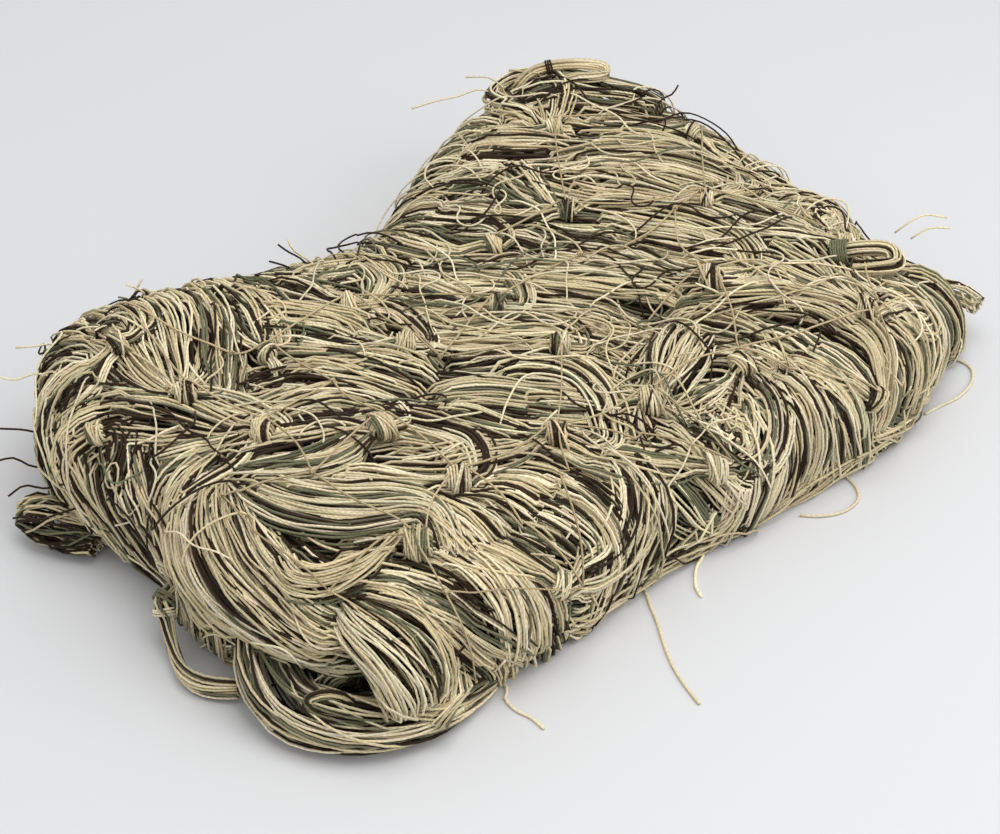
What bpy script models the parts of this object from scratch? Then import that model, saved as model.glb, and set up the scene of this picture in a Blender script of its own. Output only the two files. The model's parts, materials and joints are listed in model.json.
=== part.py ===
"""Camouflage net of twine with hanks of yarn tied to its crossings, folded into a pack."""
import math

import bmesh
import bpy
from mathutils import Vector
from mathutils.bvhtree import BVHTree

# Driving sizes, in metres. X runs along the pack, +Y to its back, Z up from the surface.
LAYERS = 5              # layers of net in the pack
LAYER_GAP = 0.002       # air between two layers
SHOULDER_DROP = 0.10    # share of the height lost at the long edges
ACROSS = 6              # points across one face of a layer
STATIONS = 17           # sections along the pack
FOLD_STEPS = 5          # facets round the outside of a fold
INSIDE_STEPS = 2        # facets round its inside
END_ROUND = (           # at each end: distance in from the end, share of a layer's thickness left
    {"inset": 0.000, "share": 0.35},
    {"inset": 0.004, "share": 0.75},
)

# Outline of the pack: front and back edge on the surface, and the height of its crown.
PACK = (
    {"x": -0.206, "front": -0.062, "back": 0.118, "height": 0.056},
    {"x": -0.194, "front": -0.088, "back": 0.146, "height": 0.068},
    {"x": -0.160, "front": -0.104, "back": 0.160, "height": 0.075},
    {"x": -0.100, "front": -0.112, "back": 0.160, "height": 0.076},
    {"x": -0.040, "front": -0.116, "back": 0.138, "height": 0.070},
    {"x": 0.030, "front": -0.116, "back": 0.130, "height": 0.065},
    {"x": 0.085, "front": -0.122, "back": 0.152, "height": 0.067},
    {"x": 0.150, "front": -0.128, "back": 0.176, "height": 0.070},
    {"x": 0.205, "front": -0.120, "back": 0.184, "height": 0.069},
    {"x": 0.240, "front": -0.110, "back": 0.146, "height": 0.052},
    {"x": 0.256, "front": -0.104, "back": 0.092, "height": 0.041},
)

# How far each layer edge stands back from the outline, bottom layer first.
FRONT_STEP = (0.000, 0.004, 0.012)
BACK_STEP = (0.002, 0.006, 0.014)
# How far the left end of each layer stands back, and over what length that fades out.
LEFT_STEP = (0.018, 0.013, 0.007, 0.002, 0.000)
LEFT_FADE = 0.070

SKIN_POINTS = 90        # points of the skin over the folds, per section
HANK_GAP = 0.0008       # air under a hank
FLOOR_GAP = 0.0005      # lowest point of a hank that hangs to the surface
REACH = 0.030           # how far from its middle line a hank looks for the skin
LIFTS = 12              # rounds of lifting a hank clear of what it crosses

# The wrapped knot at a hank's start, and the air left before the next one.
KNOT = {"length": 0.014, "width": 0.015, "height": 0.012, "clear": 0.002}
# Swelling of a hank between two knots: place along it, share of its full width.
BELLY = ((0.12, 0.60), (0.32, 0.95), (0.55, 1.00), (0.80, 0.80))
# Section of a hank: places across its underside, and (span, place in it, rise) over its top.
UNDER = (-1.0, -0.4, 0.4, 1.0)
OVER = ((0, 0.5, 0.8), (1, 0.5, 1.0), (2, 0.5, 0.8))
COLOURS = ((0.62, 0.56, 0.38), (0.50, 0.46, 0.30), (0.34, 0.36, 0.25))

# Net crossings that carry a knot, on the pack: x and y, and z where one is on a side.
KNOTS = {
    "a1": (-0.137, 0.134), "a2": (-0.182, 0.095), "a3": (-0.147, 0.071), "a4": (-0.095, 0.070),
    "b1": (-0.141, 0.021), "b2": (-0.098, -0.017), "b3": (-0.098, -0.069), "b4": (-0.145, -0.084),
    "c1": (-0.033, 0.079), "c2": (-0.038, 0.031), "c3": (-0.035, -0.073),
    "d1": (0.063, 0.068), "d2": (0.026, 0.027), "d3": (0.022, -0.021), "d4": (0.022, -0.083),
    "e1": (0.112, 0.061), "e2": (0.116, -0.041), "e3": (0.079, -0.092),
    "f1": (0.163, 0.121), "f2": (0.221, 0.069), "f3": (0.170, 0.011), "f4": (0.193, -0.067),
    "f5": (0.161, -0.106),
    "g1": (-0.077, -0.122, 0.036), "g2": (0.038, -0.122, 0.038), "g3": (0.139, -0.134, 0.033),
}

# The hanks, in the order in which they lie on each other. A path starts at the hank's knot, and
# bow is how far its middle lies to the left of the straight line.
HANKS = (
    # on the top, left part
    {"path": ("a3", (-0.100, 0.146)), "bow": -0.006, "width": 0.042, "thick": 0.009},
    {"path": ("a1", (-0.180, 0.130)), "bow": 0.004, "width": 0.028, "thick": 0.008},
    {"path": ("a4", (-0.054, 0.122)), "bow": -0.006, "width": 0.040, "thick": 0.009},
    {"path": ("b1", (-0.182, 0.074)), "bow": 0.006, "width": 0.038, "thick": 0.009},
    {"path": ("b2", "a4"), "bow": -0.006, "width": 0.034, "thick": 0.008},
    {"path": ("b2", "b1"), "bow": 0.006, "width": 0.026, "thick": 0.009},
    {"path": ("b3", "b2"), "bow": -0.006, "width": 0.030, "thick": 0.009},
    {"path": ("b4", (-0.184, 0.010)), "bow": -0.014, "width": 0.040, "thick": 0.010},
    {"path": ("c2", "c1"), "bow": -0.008, "width": 0.026, "thick": 0.008},
    {"path": ("c1", (-0.028, 0.122)), "bow": 0.004, "width": 0.030, "thick": 0.009},
    {"path": ("c2", (-0.080, 0.052)), "bow": 0.004, "width": 0.026, "thick": 0.008},
    # on the top, middle
    {"path": ("d3", (-0.034, 0.016)), "bow": 0.010, "width": 0.032, "thick": 0.009},
    {"path": ("c3", (-0.080, -0.026)), "bow": 0.004, "width": 0.034, "thick": 0.010},
    {"path": ("d2", (-0.020, 0.066)), "bow": 0.006, "width": 0.030, "thick": 0.009},
    {"path": ("d1", (0.018, 0.116)), "bow": -0.006, "width": 0.036, "thick": 0.009},
    {"path": ("d4", (0.062, -0.046)), "bow": 0.004, "width": 0.026, "thick": 0.010},
    {"path": ("e2", (0.044, 0.006)), "bow": 0.008, "width": 0.040, "thick": 0.010},
    {"path": ("e1", (0.080, 0.134)), "bow": 0.006, "width": 0.040, "thick": 0.010},
    {"path": ("e3", "d4"), "bow": 0.010, "width": 0.024, "thick": 0.009},
    # on the top, right part
    {"path": ("f3", "e1"), "bow": -0.006, "width": 0.038, "thick": 0.010},
    {"path": ("f1", (0.114, 0.146)), "bow": -0.004, "width": 0.030, "thick": 0.009},
    {"path": ("f2", (0.178, 0.112)), "bow": -0.004, "width": 0.032, "thick": 0.009},
    {"path": ("f4", "f3"), "bow": -0.006, "width": 0.036, "thick": 0.009},
    {"path": ("f5", (0.124, -0.052)), "bow": 0.006, "width": 0.034, "thick": 0.010},
    {"path": ("f2", (0.240, 0.006)), "bow": 0.004, "width": 0.030, "thick": 0.009},
    {"path": ((0.056, 0.050), (0.098, -0.008)), "width": 0.034, "thick": 0.009},
    {"path": ((-0.046, -0.010), (0.004, -0.058)), "bow": 0.004, "width": 0.034, "thick": 0.009},
    {"path": ((0.148, 0.096), (0.208, 0.042)), "width": 0.034, "thick": 0.009},
    {"path": ((0.128, 0.012), (0.160, -0.052)), "width": 0.030, "thick": 0.009},
    {"kind": "right_loop", "path": ("f4", (0.218, -0.082)), "width": 0.017, "thick": 0.011},
    {"kind": "lump", "path": ((0.166, 0.172), (0.232, 0.116)), "bow": 0.004, "width": 0.054,
     "thick": 0.020},
    # over the long edge in front
    {"kind": "drape", "path": ("g1", (-0.086, -0.108, 0.066)), "width": 0.032, "thick": 0.009},
    {"kind": "drape", "path": ((-0.178, -0.066, 0.080), (-0.160, -0.102, 0.060), (-0.138, -0.128, 0.024)),
     "width": 0.044, "thick": 0.012},
    {"kind": "drape", "path": ((-0.118, -0.104, 0.070), (-0.112, -0.124, 0.040), (-0.106, -0.128, 0.014)),
     "width": 0.034, "thick": 0.010},
    {"kind": "drape", "path": ((-0.036, -0.100, 0.070), (-0.034, -0.124, 0.040), (-0.030, -0.128, 0.016)),
     "width": 0.040, "thick": 0.010},
    {"kind": "drape", "path": ("g2", (0.010, -0.108, 0.062)), "width": 0.030, "thick": 0.009},
    {"kind": "drape", "path": ((0.064, -0.126, 0.050), (0.088, -0.134, 0.030), (0.104, -0.138, 0.018)),
     "width": 0.030, "thick": 0.010},
    {"kind": "drape", "path": ("g3", (0.126, -0.122, 0.060)), "width": 0.030, "thick": 0.009},
    {"kind": "drape", "path": ((0.196, -0.104, 0.064), (0.200, -0.126, 0.040), (0.198, -0.128, 0.018)),
     "width": 0.038, "thick": 0.010},
    {"kind": "drape", "path": ((0.232, -0.086, 0.052), (0.240, -0.114, 0.034), (0.236, -0.116, 0.016)),
     "width": 0.030, "thick": 0.010},
    # over the left end
    {"kind": "drape", "path": ("a2", (-0.208, 0.078, 0.040)), "width": 0.030, "thick": 0.009},
    {"kind": "drape", "path": ((-0.196, 0.030, 0.070), (-0.208, 0.018, 0.050), (-0.208, 0.012, 0.034)),
     "width": 0.036, "thick": 0.010},
    {"kind": "drape", "path": ((-0.196, -0.024, 0.068), (-0.208, -0.034, 0.050), (-0.208, -0.038, 0.036)),
     "width": 0.034, "thick": 0.010},
    # over the right end and the back
    {"kind": "drape", "path": ((0.248, 0.060, 0.048), (0.258, 0.050, 0.030), (0.258, 0.044, 0.018)),
     "width": 0.034, "thick": 0.009},
    {"kind": "drape", "path": ((-0.140, 0.150, 0.074), (-0.142, 0.164, 0.044), (-0.140, 0.164, 0.020)),
     "width": 0.040, "thick": 0.010},
    {"kind": "drape", "path": ((0.030, 0.120, 0.064), (0.034, 0.134, 0.040), (0.036, 0.134, 0.020)),
     "width": 0.036, "thick": 0.009},
    {"kind": "drape", "path": ((0.150, 0.166, 0.068), (0.146, 0.180, 0.044), (0.144, 0.182, 0.020)),
     "width": 0.040, "thick": 0.010},
)

# Skeins that stand clear of the pack: a row for each section, with its half width and half height.
SKEINS = {
    "foot_roll": (
        {"x": -0.2050, "y": -0.030, "z": 0.0145, "wide": 0.009, "high": 0.010},
        {"x": -0.2085, "y": -0.050, "z": 0.0140, "wide": 0.013, "high": 0.0125},
        {"x": -0.2085, "y": -0.078, "z": 0.0140, "wide": 0.014, "high": 0.0125},
        {"x": -0.1990, "y": -0.103, "z": 0.0140, "wide": 0.014, "high": 0.0125},
        {"x": -0.1760, "y": -0.120, "z": 0.0135, "wide": 0.012, "high": 0.0120},
        {"x": -0.1480, "y": -0.1290, "z": 0.0105, "wide": 0.009, "high": 0.0090},
    ),
    "left_hank": (
        {"x": -0.2010, "y": 0.093, "z": 0.0130, "wide": 0.0080, "high": 0.0100},
        {"x": -0.2035, "y": 0.103, "z": 0.0135, "wide": 0.0105, "high": 0.0120},
        {"x": -0.2060, "y": 0.114, "z": 0.0135, "wide": 0.0120, "high": 0.0125},
        {"x": -0.2095, "y": 0.124, "z": 0.0135, "wide": 0.0110, "high": 0.0120},
        {"x": -0.2120, "y": 0.131, "z": 0.0130, "wide": 0.0080, "high": 0.0080},
    ),
    "loop_band": (
        {"x": -0.2005, "y": 0.018, "z": 0.0275, "wide": 0.005, "high": 0.005},
        {"x": -0.2130, "y": 0.017, "z": 0.0245, "wide": 0.006, "high": 0.008},
        {"x": -0.2155, "y": 0.013, "z": 0.0160, "wide": 0.003, "high": 0.005},
        {"x": -0.2210, "y": 0.003, "z": 0.0075, "wide": 0.0025, "high": 0.006},
        {"x": -0.2270, "y": -0.010, "z": 0.0060, "wide": 0.0025, "high": 0.005},
        {"x": -0.2280, "y": -0.022, "z": 0.0060, "wide": 0.0025, "high": 0.005},
        {"x": -0.2245, "y": -0.031, "z": 0.0070, "wide": 0.0025, "high": 0.004},
        {"x": -0.2200, "y": -0.038, "z": 0.0075, "wide": 0.0020, "high": 0.004},
    ),
    "tip_hank": (
        {"x": 0.2585, "y": -0.0905, "z": 0.0285, "wide": 0.0050, "high": 0.0050},
        {"x": 0.2600, "y": -0.1025, "z": 0.0280, "wide": 0.0060, "high": 0.0065},
        {"x": 0.2595, "y": -0.1130, "z": 0.0265, "wide": 0.0050, "high": 0.0060},
    ),
}
SKEIN_SIDES = 8         # sides of a skein's section

# Loose threads that lie on the surface, each from where it leaves the net.
THREAD = 0.0016         # its diameter
THREAD_GAP = 0.0001     # air under it
THREAD_STEP = 3         # diameters between its points
THREADS = {
    "loose_thread_1": (
        (-0.0180, -0.1145), (-0.0225, -0.1250), (-0.0285, -0.1340), (-0.0350, -0.1445),
        (-0.0450, -0.1585), (-0.0525, -0.1705), (-0.0585, -0.1835), (-0.0635, -0.1980),
    ),
    "loose_thread_2": (
        (-0.1155, -0.1085), (-0.1185, -0.1190), (-0.1215, -0.1265), (-0.1265, -0.1300),
        (-0.1285, -0.1390), (-0.1270, -0.1480), (-0.1280, -0.1575),
    ),
    "loose_thread_3": (
        (0.0250, -0.1145), (0.0225, -0.1215), (0.0185, -0.1270), (0.0105, -0.1300),
        (0.0035, -0.1350), (-0.0025, -0.1410), (-0.0055, -0.1475),
    ),
    "loose_thread_4": (
        (0.1185, -0.1240), (0.1190, -0.1335), (0.1175, -0.1425), (0.1135, -0.1500),
        (0.1065, -0.1550), (0.0955, -0.1550), (0.0850, -0.1495), (0.0775, -0.1410),
    ),
    "loose_thread_5": (
        (0.2380, -0.1093), (0.2415, -0.1180), (0.2395, -0.1270), (0.2290, -0.1345),
        (0.2145, -0.1370), (0.2015, -0.1350), (0.1900, -0.1335),
    ),
}


def smooth_row(table, key, column, at):
    """Value of a column at a key, on a smooth curve through the table's rows."""
    keys = [row[key] for row in table]
    values = [row[column] for row in table]
    last = len(keys) - 1
    i = max(0, min(last - 1, sum(k <= at for k in keys) - 1))
    span = keys[i + 1] - keys[i]
    t = (at - keys[i]) / span

    def slope(j):
        lo, hi = max(j - 1, 0), min(j + 1, last)
        return (values[hi] - values[lo]) / (keys[hi] - keys[lo])

    a, b = values[i], values[i + 1]
    ma, mb = slope(i) * span, slope(i + 1) * span
    return (
        (2 * t**3 - 3 * t**2 + 1) * a
        + (t**3 - 2 * t**2 + t) * ma
        + (3 * t**2 - 2 * t**3) * b
        + (t**3 - t**2) * mb
    )


class Section:
    """One section of the folded net, across the pack."""

    def __init__(self, x, share):
        self.x = x
        self.front = smooth_row(PACK, "x", "front", x)
        self.back = smooth_row(PACK, "x", "back", x)
        self.height = smooth_row(PACK, "x", "height", x)
        self.share = share

    def point(self, y, z, layer):
        """A point of the outline, with its layer's end moved in."""
        below = min(int(layer), LAYERS - 2)
        step = LEFT_STEP[below] + (LEFT_STEP[below + 1] - LEFT_STEP[below]) * (layer - below)
        fade = max(0.0, 1 - (self.x - PACK[0]["x"]) / LEFT_FADE)
        return self.x + step * fade, y, z

    def crown(self, y):
        middle, half = (self.front + self.back) / 2, (self.back - self.front) / 2
        return self.height * (1 - SHOULDER_DROP * abs((y - middle) / half) ** 3)

    def pitch(self, y):
        return (self.crown(y) + LAYER_GAP) / LAYERS

    def faces(self, layer, y):
        """Lowest and highest point of a layer at y."""
        pitch = self.pitch(y)
        thick = (pitch - LAYER_GAP) * self.share
        low = layer * pitch
        if layer:
            low += (pitch - LAYER_GAP - thick) / 2
        return low, low + thick

    def edge(self, lower, side):
        """Y where the arc of a fold, or of a free edge, begins."""
        if side < 0:
            outer = self.front + FRONT_STEP[(lower + 1) // 2]
        else:
            outer = self.back - BACK_STEP[lower // 2]
        folded = 0 <= lower < LAYERS - 1 and self.folds(lower, side)
        return outer - side * self.pitch(outer) / (1 if folded else 2)

    @staticmethod
    def folds(lower, side):
        """Whether the layers lower and lower + 1 join on this side."""
        return (lower % 2 == 0) == (side > 0)

    def layer_ends(self):
        """Where the straight part of each layer ends, in front (-1) and at the back (1)."""
        ends = {}
        for layer in range(LAYERS):
            for side in (-1, 1):
                lower = layer if self.folds(layer, side) else layer - 1
                ends[layer, side] = self.edge(lower, side)
        return ends

    def outline(self):
        """Closed outline with the same points at each station, as a list of runs and turns."""
        ends = self.layer_ends()

        def run(layer, upper, forward):
            first, last = ends[layer, -1], ends[layer, 1]
            ys = [first + (last - first) * i / (ACROSS - 1) for i in range(ACROSS)]
            ys = ys if forward else ys[::-1]
            return [self.point(y, self.faces(layer, y)[upper], layer) for y in ys]

        def turn(layer, other, upper, upper_other, steps):
            """Half a turn at the end of a layer, from one of its faces to a face of the other."""
            if layer == other:
                side, rising = (1, True) if layer else (-1, False)
            else:
                rising = other > layer
                side = 1 if (layer % 2 == 0) == rising else -1
            y = ends[layer, side]
            start, stop = self.faces(layer, y)[upper], self.faces(other, y)[upper_other]
            radius, middle = abs(stop - start) / 2, (start + stop) / 2
            points = []
            for i in range(1, steps):
                a = math.pi * (i / steps - 0.5) * (1 if rising else -1)
                out, rise = side * radius * math.cos(a), radius * math.sin(a)
                points.append(self.point(y + out, middle + rise, layer + (other - layer) * i / steps))
            return points

        parts = []
        top = LAYERS - 1
        for layer in range(LAYERS):            # out along the lower path
            forward = layer % 2 == 0
            parts.append(run(layer, 0 if forward else 1, forward))
            if layer == top:
                parts.append(turn(layer, layer, 0, 1, FOLD_STEPS - 1))
            elif forward:
                parts.append(turn(layer, layer + 1, 0, 1, FOLD_STEPS))
            else:
                parts.append(turn(layer, layer + 1, 1, 0, INSIDE_STEPS))
        for layer in reversed(range(LAYERS)):  # and back along the upper path
            forward = layer % 2 == 1
            parts.append(run(layer, 0 if forward else 1, forward))
            if layer == 0:
                parts.append(turn(layer, layer, 1, 0, FOLD_STEPS - 1))
            elif forward:
                parts.append(turn(layer, layer - 1, 0, 1, INSIDE_STEPS))
            else:
                parts.append(turn(layer, layer - 1, 1, 0, FOLD_STEPS))
        return parts


def strip(left, right):
    """Triangles between two rows of points, given by their numbers."""
    i, j, faces = 0, 0, []
    while i < len(left) - 1 or j < len(right) - 1:
        if j == len(right) - 1 or (i < len(left) - 1 and (i + 1) * len(right) <= (j + 1) * len(left)):
            faces.append((left[i], left[i + 1], right[j]))
            i += 1
        else:
            faces.append((left[i], right[j + 1], right[j]))
            j += 1
    return faces


def section_faces(parts):
    """Triangles that close a section of the net: one strip for each layer and each fold."""
    rows, count = [], 0
    for part in parts:
        rows.append(list(range(count, count + len(part))))
        count += len(part)
    out, back = rows[:2 * LAYERS], rows[2 * LAYERS:]
    faces = []
    for layer in range(LAYERS):
        there = out[2 * layer]
        returning = back[2 * (LAYERS - 1 - layer)]
        faces += strip(there, returning[::-1])
        if layer < LAYERS - 1:
            above = 2 * (LAYERS - 2 - layer)
            left = [there[-1], *out[2 * layer + 1], out[2 * layer + 2][0]]
            right = [returning[0], *back[above + 1][::-1], back[above][-1]]
            faces += strip(left, right)
    tip = [out[-2][-1], *out[-1], back[0][0]]
    heel = [back[-2][-1], *back[-1], out[0][0]]
    for fan in (tip, heel):
        faces += [(fan[0], fan[i], fan[i + 1]) for i in range(1, len(fan) - 1)]
    return faces


def loft(name, rings, colour, roughness=0.9, ends=None):
    """One closed body through rings of points that have the same count."""
    mesh = bmesh.new()
    loops = [[mesh.verts.new(p) for p in ring] for ring in rings]
    count = len(loops[0])
    for a, b in zip(loops, loops[1:]):
        for i in range(count):
            j = (i + 1) % count
            mesh.faces.new((a[i], a[j], b[j], b[i]))
    ends = ends or [(0, i, i + 1) for i in range(1, count - 1)]
    for face in ends:
        mesh.faces.new([loops[0][i] for i in reversed(face)])
        mesh.faces.new([loops[-1][i] for i in face])
    bmesh.ops.triangulate(mesh, faces=mesh.faces[:])
    bmesh.ops.recalc_face_normals(mesh, faces=mesh.faces[:])
    data = bpy.data.meshes.new(name)
    mesh.to_mesh(data)
    mesh.free()
    return place(name, data, colour, roughness)


def place(name, data, colour, roughness):
    piece = bpy.data.objects.new(name, data)
    bpy.context.collection.objects.link(piece)
    data.materials.append(yarn_material(f"{name}_yarn", colour, roughness))
    return piece


def yarn_material(name, colour, roughness):
    material = bpy.data.materials.new(name)
    material.use_nodes = True
    shader = material.node_tree.nodes["Principled BSDF"]
    shader.inputs["Base Color"].default_value = (*colour, 1)
    shader.inputs["Roughness"].default_value = roughness
    shader.inputs["Metallic"].default_value = 0
    return material


def stations():
    """Places along the pack, with the share of a layer's thickness there."""
    first, last = PACK[0]["x"], PACK[-1]["x"]
    inner = END_ROUND[-1]["inset"] * 3
    stops = [(first + row["inset"], row["share"]) for row in END_ROUND]
    for i in range(STATIONS):
        stops.append((first + inner + (last - first - 2 * inner) * i / (STATIONS - 1), 1.0))
    stops += [(last - row["inset"], row["share"]) for row in reversed(END_ROUND)]
    return stops


def folded_net():
    sections = [Section(x, share).outline() for x, share in stations()]
    rings = [[point for part in parts for point in part] for parts in sections]
    return loft("folded_net", rings, (0.30, 0.27, 0.18), ends=section_faces(sections[0]))


def over_folds(parts):
    """The part of an outline's hull that runs from the front foot over the top to the back foot."""
    points = sorted(set((round(y, 6), round(z, 6)) for part in parts for _, y, z in part))
    upper = []
    for p in points:
        while len(upper) > 1:
            (ay, az), (by, bz) = upper[-2], upper[-1]
            if (by - ay) * (p[1] - az) - (bz - az) * (p[0] - ay) < 0:
                break
            upper.pop()
        upper.append(p)
    upper = [(upper[0][0], 0.0)] + upper + [(upper[-1][0], 0.0)]
    lengths = [0.0]
    for (ay, az), (by, bz) in zip(upper, upper[1:]):
        lengths.append(lengths[-1] + math.hypot(by - ay, bz - az))
    even = []
    for i in range(SKIN_POINTS):
        want = lengths[-1] * i / (SKIN_POINTS - 1)
        j = max(k for k in range(len(lengths) - 1) if lengths[k] <= want + 1e-12)
        t = (want - lengths[j]) / max(lengths[j + 1] - lengths[j], 1e-9)
        even.append(tuple(a + (b - a) * t for a, b in zip(upper[j], upper[j + 1])))
    return even


class Ground:
    """What a hank lies on: the pack without its folds, and the hanks laid before."""

    def __init__(self):
        self.points, self.faces = [], []
        stops = [(x, Section(x, 1.0).outline()) for x, _ in stations()]
        rings = [[(x, y, z) for y, z in over_folds(outline)] for x, outline in stops]
        self.add([p for ring in rings for p in ring], [
            (a * SKIN_POINTS + i, b * SKIN_POINTS + i, b * SKIN_POINTS + i + 1, a * SKIN_POINTS + i + 1)
            for a, b in zip(range(len(rings)), range(1, len(rings)))
            for i in range(SKIN_POINTS - 1)
        ])
        for ring, turn in ((rings[0], 1), (rings[-1], -1)):
            middle = (ring[0][0], sum(p[1] for p in ring) / SKIN_POINTS, 0.0)
            self.add([middle, *ring], [
                (0, i, i + 1)[::turn] for i in range(1, SKIN_POINTS)
            ])
        self.pack = self.tree()
        self.all = self.pack

    def add(self, points, faces):
        base = len(self.points)
        self.points += [Vector(p) for p in points]
        self.faces += [tuple(base + i for i in face) for face in faces]

    def tree(self):
        return BVHTree.FromPolygons(self.points, self.faces)

    def lay(self, piece):
        data = piece.data
        self.add([v.co for v in data.vertices], [tuple(f.vertices) for f in data.polygons])
        self.all = self.tree()

    def height(self, point):
        """Signed distance above everything laid so far."""
        place, normal, _, _ = self.all.find_nearest(point)
        away = point - place
        inside = away.dot(normal) < -0.7 * away.length
        return -away.length if inside else away.length


def curve_through(points, at):
    """Point of a smooth curve through the points, at 0 to 1 of its length."""
    lengths = [0.0]
    for a, b in zip(points, points[1:]):
        lengths.append(lengths[-1] + (b - a).length)
    rows = [{"at": s / lengths[-1], "x": p.x, "y": p.y, "z": p.z} for s, p in zip(lengths, points)]
    return Vector([smooth_row(rows, "at", axis, at) for axis in "xyz"])


def hank_profile(row, length, knotted):
    """Stations of one hank: place along it, width and thickness."""
    width, thick = row["width"], row["thick"]
    stops = []
    start = 0.0
    if knotted:
        start = KNOT["length"]
        for share, size in ((0.0, 0.7), (0.25, 1.0), (0.75, 1.0), (1.0, 0.75)):
            stops.append((share * start / length, KNOT["width"] * size, KNOT["height"] * size))
    else:
        stops.append((0.0, KNOT["width"] * 0.6, thick * 0.5))
    for share, full in BELLY:
        stops.append(((start + (length - start) * share) / length, width * full, thick * (0.4 + 0.6 * full)))
    tip = row.get("tip", KNOT["width"] * 0.6)
    stops.append((1.0, tip, thick * 0.5))
    return stops


def hank(name, row, ground, tied, colour):
    """A skein laid over the pack: a lens in section, tied at one end into a knot."""
    guide = [Vector((*KNOTS[p], 0)[:3] if isinstance(p, str) else (*p, 0)[:3]) for p in row["path"]]
    for p in guide:
        if p.z == 0:
            p.z = 1.0
            hit = ground.pack.ray_cast(p, Vector((0, 0, -1)))[0]
            p.z = hit.z if hit else 0.02
    if row.get("bow"):
        along = guide[-1] - guide[0]
        side = Vector((-along.y, along.x, 0)).normalized()
        guide.insert(1, (guide[0] + guide[-1]) / 2 + side * row["bow"])
    begin, trim = row["path"][0], KNOT["length"] / 2
    knotted = isinstance(begin, str) and begin not in tied
    tied.add(begin)
    first, second = guide[0], guide[1]
    if knotted:
        guide[0] = first + (first - second).normalized() * trim
    elif isinstance(begin, str):
        guide[0] = first + (second - first).normalized() * (trim + KNOT["clear"])
    last, before = guide[-1], guide[-2]
    if isinstance(row["path"][-1], str):
        guide[-1] = last + (before - last).normalized() * (trim + KNOT["clear"])
    length = sum((b - a).length for a, b in zip(guide, guide[1:]))
    stops = hank_profile(row, length, knotted)
    centres, normals = [], []
    for at, _, _ in stops:
        place, normal, _, _ = ground.pack.find_nearest(curve_through(guide, at))
        centres.append(place)
        normals.append(normal)
    for _ in range(2):
        normals = [
            (normals[max(i - 1, 0)] + normals[i] * 2 + normals[min(i + 1, len(normals) - 1)]).normalized()
            for i in range(len(normals))
        ]
    frames = []
    for i, (centre, normal) in enumerate(zip(centres, normals)):
        along = centres[min(i + 1, len(centres) - 1)] - centres[max(i - 1, 0)]
        frames.append((centre, normal, normal.cross(along).normalized()))
    lift = [HANK_GAP] * len(stops)

    def under(i):
        centre, normal, side = frames[i]
        row_points = []
        for u in UNDER:
            start = centre + side * (stops[i][1] / 2 * u) + normal * REACH
            hit = ground.pack.ray_cast(start, -normal, 2 * REACH)[0] or start - normal * REACH
            row_points.append(hit + normal * lift[i])
        return row_points

    def over(i, below):
        _, normal, _ = frames[i]
        rise = normal * stops[i][2]
        return [below[j].lerp(below[j + 1], t) + rise * share for j, t, share in OVER]

    for _ in range(LIFTS):
        rows_under = [under(i) for i in range(len(stops))]
        short = [0.0] * len(stops)
        for i in range(len(stops) - 1):
            for j in range(len(UNDER) - 1):
                a, b = rows_under[i][j:j + 2]
                c, d = rows_under[i + 1][j:j + 2]
                for start, end in ((a, c), (b, d), (a, d), (b, c)):
                    for t in (0.0, 0.2, 0.4, 0.6, 0.8, 1.0):
                        point = start.lerp(end, t)
                        lack = max(HANK_GAP * 0.8 - ground.height(point), FLOOR_GAP - point.z)
                        if t < 1.0:
                            short[i] = max(short[i], lack)
                        if t > 0.0:
                            short[i + 1] = max(short[i + 1], lack)
        if max(short) <= 0:
            break
        lift = [have + more for have, more in zip(lift, short)]
    rings = []
    for i in range(len(stops)):
        below = under(i)
        rings.append([tuple(p) for p in below + over(i, below)[::-1]])
    piece = loft(name, rings, colour)
    ground.lay(piece)
    return piece


def skein(name, rows, colour):
    """A free skein with oval sections, upright across its path."""
    centres = [Vector((row["x"], row["y"], row["z"])) for row in rows]
    rings = []
    for i, row in enumerate(rows):
        along = centres[min(i + 1, len(rows) - 1)] - centres[max(i - 1, 0)]
        side = Vector((0, 0, 1)).cross(along).normalized()
        up = along.cross(side).normalized()
        ring = []
        for k in range(SKEIN_SIDES):
            a = 2 * math.pi * (k + 0.5) / SKEIN_SIDES
            out, rise = side * row["wide"] * math.cos(a), up * row["high"] * math.sin(a)
            ring.append(tuple(centres[i] + out + rise))
        rings.append(ring)
    return loft(name, rings, colour)


def thread(name, route, colour):
    """A single loose thread on the surface: a bevelled curve with closed ends."""
    height = THREAD / 2 + THREAD_GAP
    guide = [Vector((x, y, height)) for x, y in route]
    length = sum((b - a).length for a, b in zip(guide, guide[1:]))
    count = round(length / (THREAD * THREAD_STEP))
    curve = bpy.data.curves.new(name, "CURVE")
    curve.dimensions = "3D"
    curve.bevel_depth = THREAD / 2
    curve.bevel_resolution = 2
    curve.use_fill_caps = True
    line = curve.splines.new("POLY")
    line.points.add(count - 1)
    for i in range(count):
        line.points[i].co = (*curve_through(guide, i / (count - 1)), 1)
    return place(name, curve, colour, 0.9)


for old in list(bpy.data.objects):
    bpy.data.objects.remove(old, do_unlink=True)
ground = Ground()
ground.lay(folded_net())
tied, numbers = set(), {}
for i, row in enumerate(HANKS):
    kind = row.get("kind", "hank")
    numbers[kind] = numbers.get(kind, 0) + 1
    hank(f"{kind}_{numbers[kind]:02d}", row, ground, tied, COLOURS[i % len(COLOURS)])
for name, rows in SKEINS.items():
    skein(name, rows, COLOURS[0])
for name, route in THREADS.items():
    thread(name, route, COLOURS[0])
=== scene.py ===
import json
import math

import bpy
import numpy as np
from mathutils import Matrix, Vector
from mathutils.bvhtree import BVHTree

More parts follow.
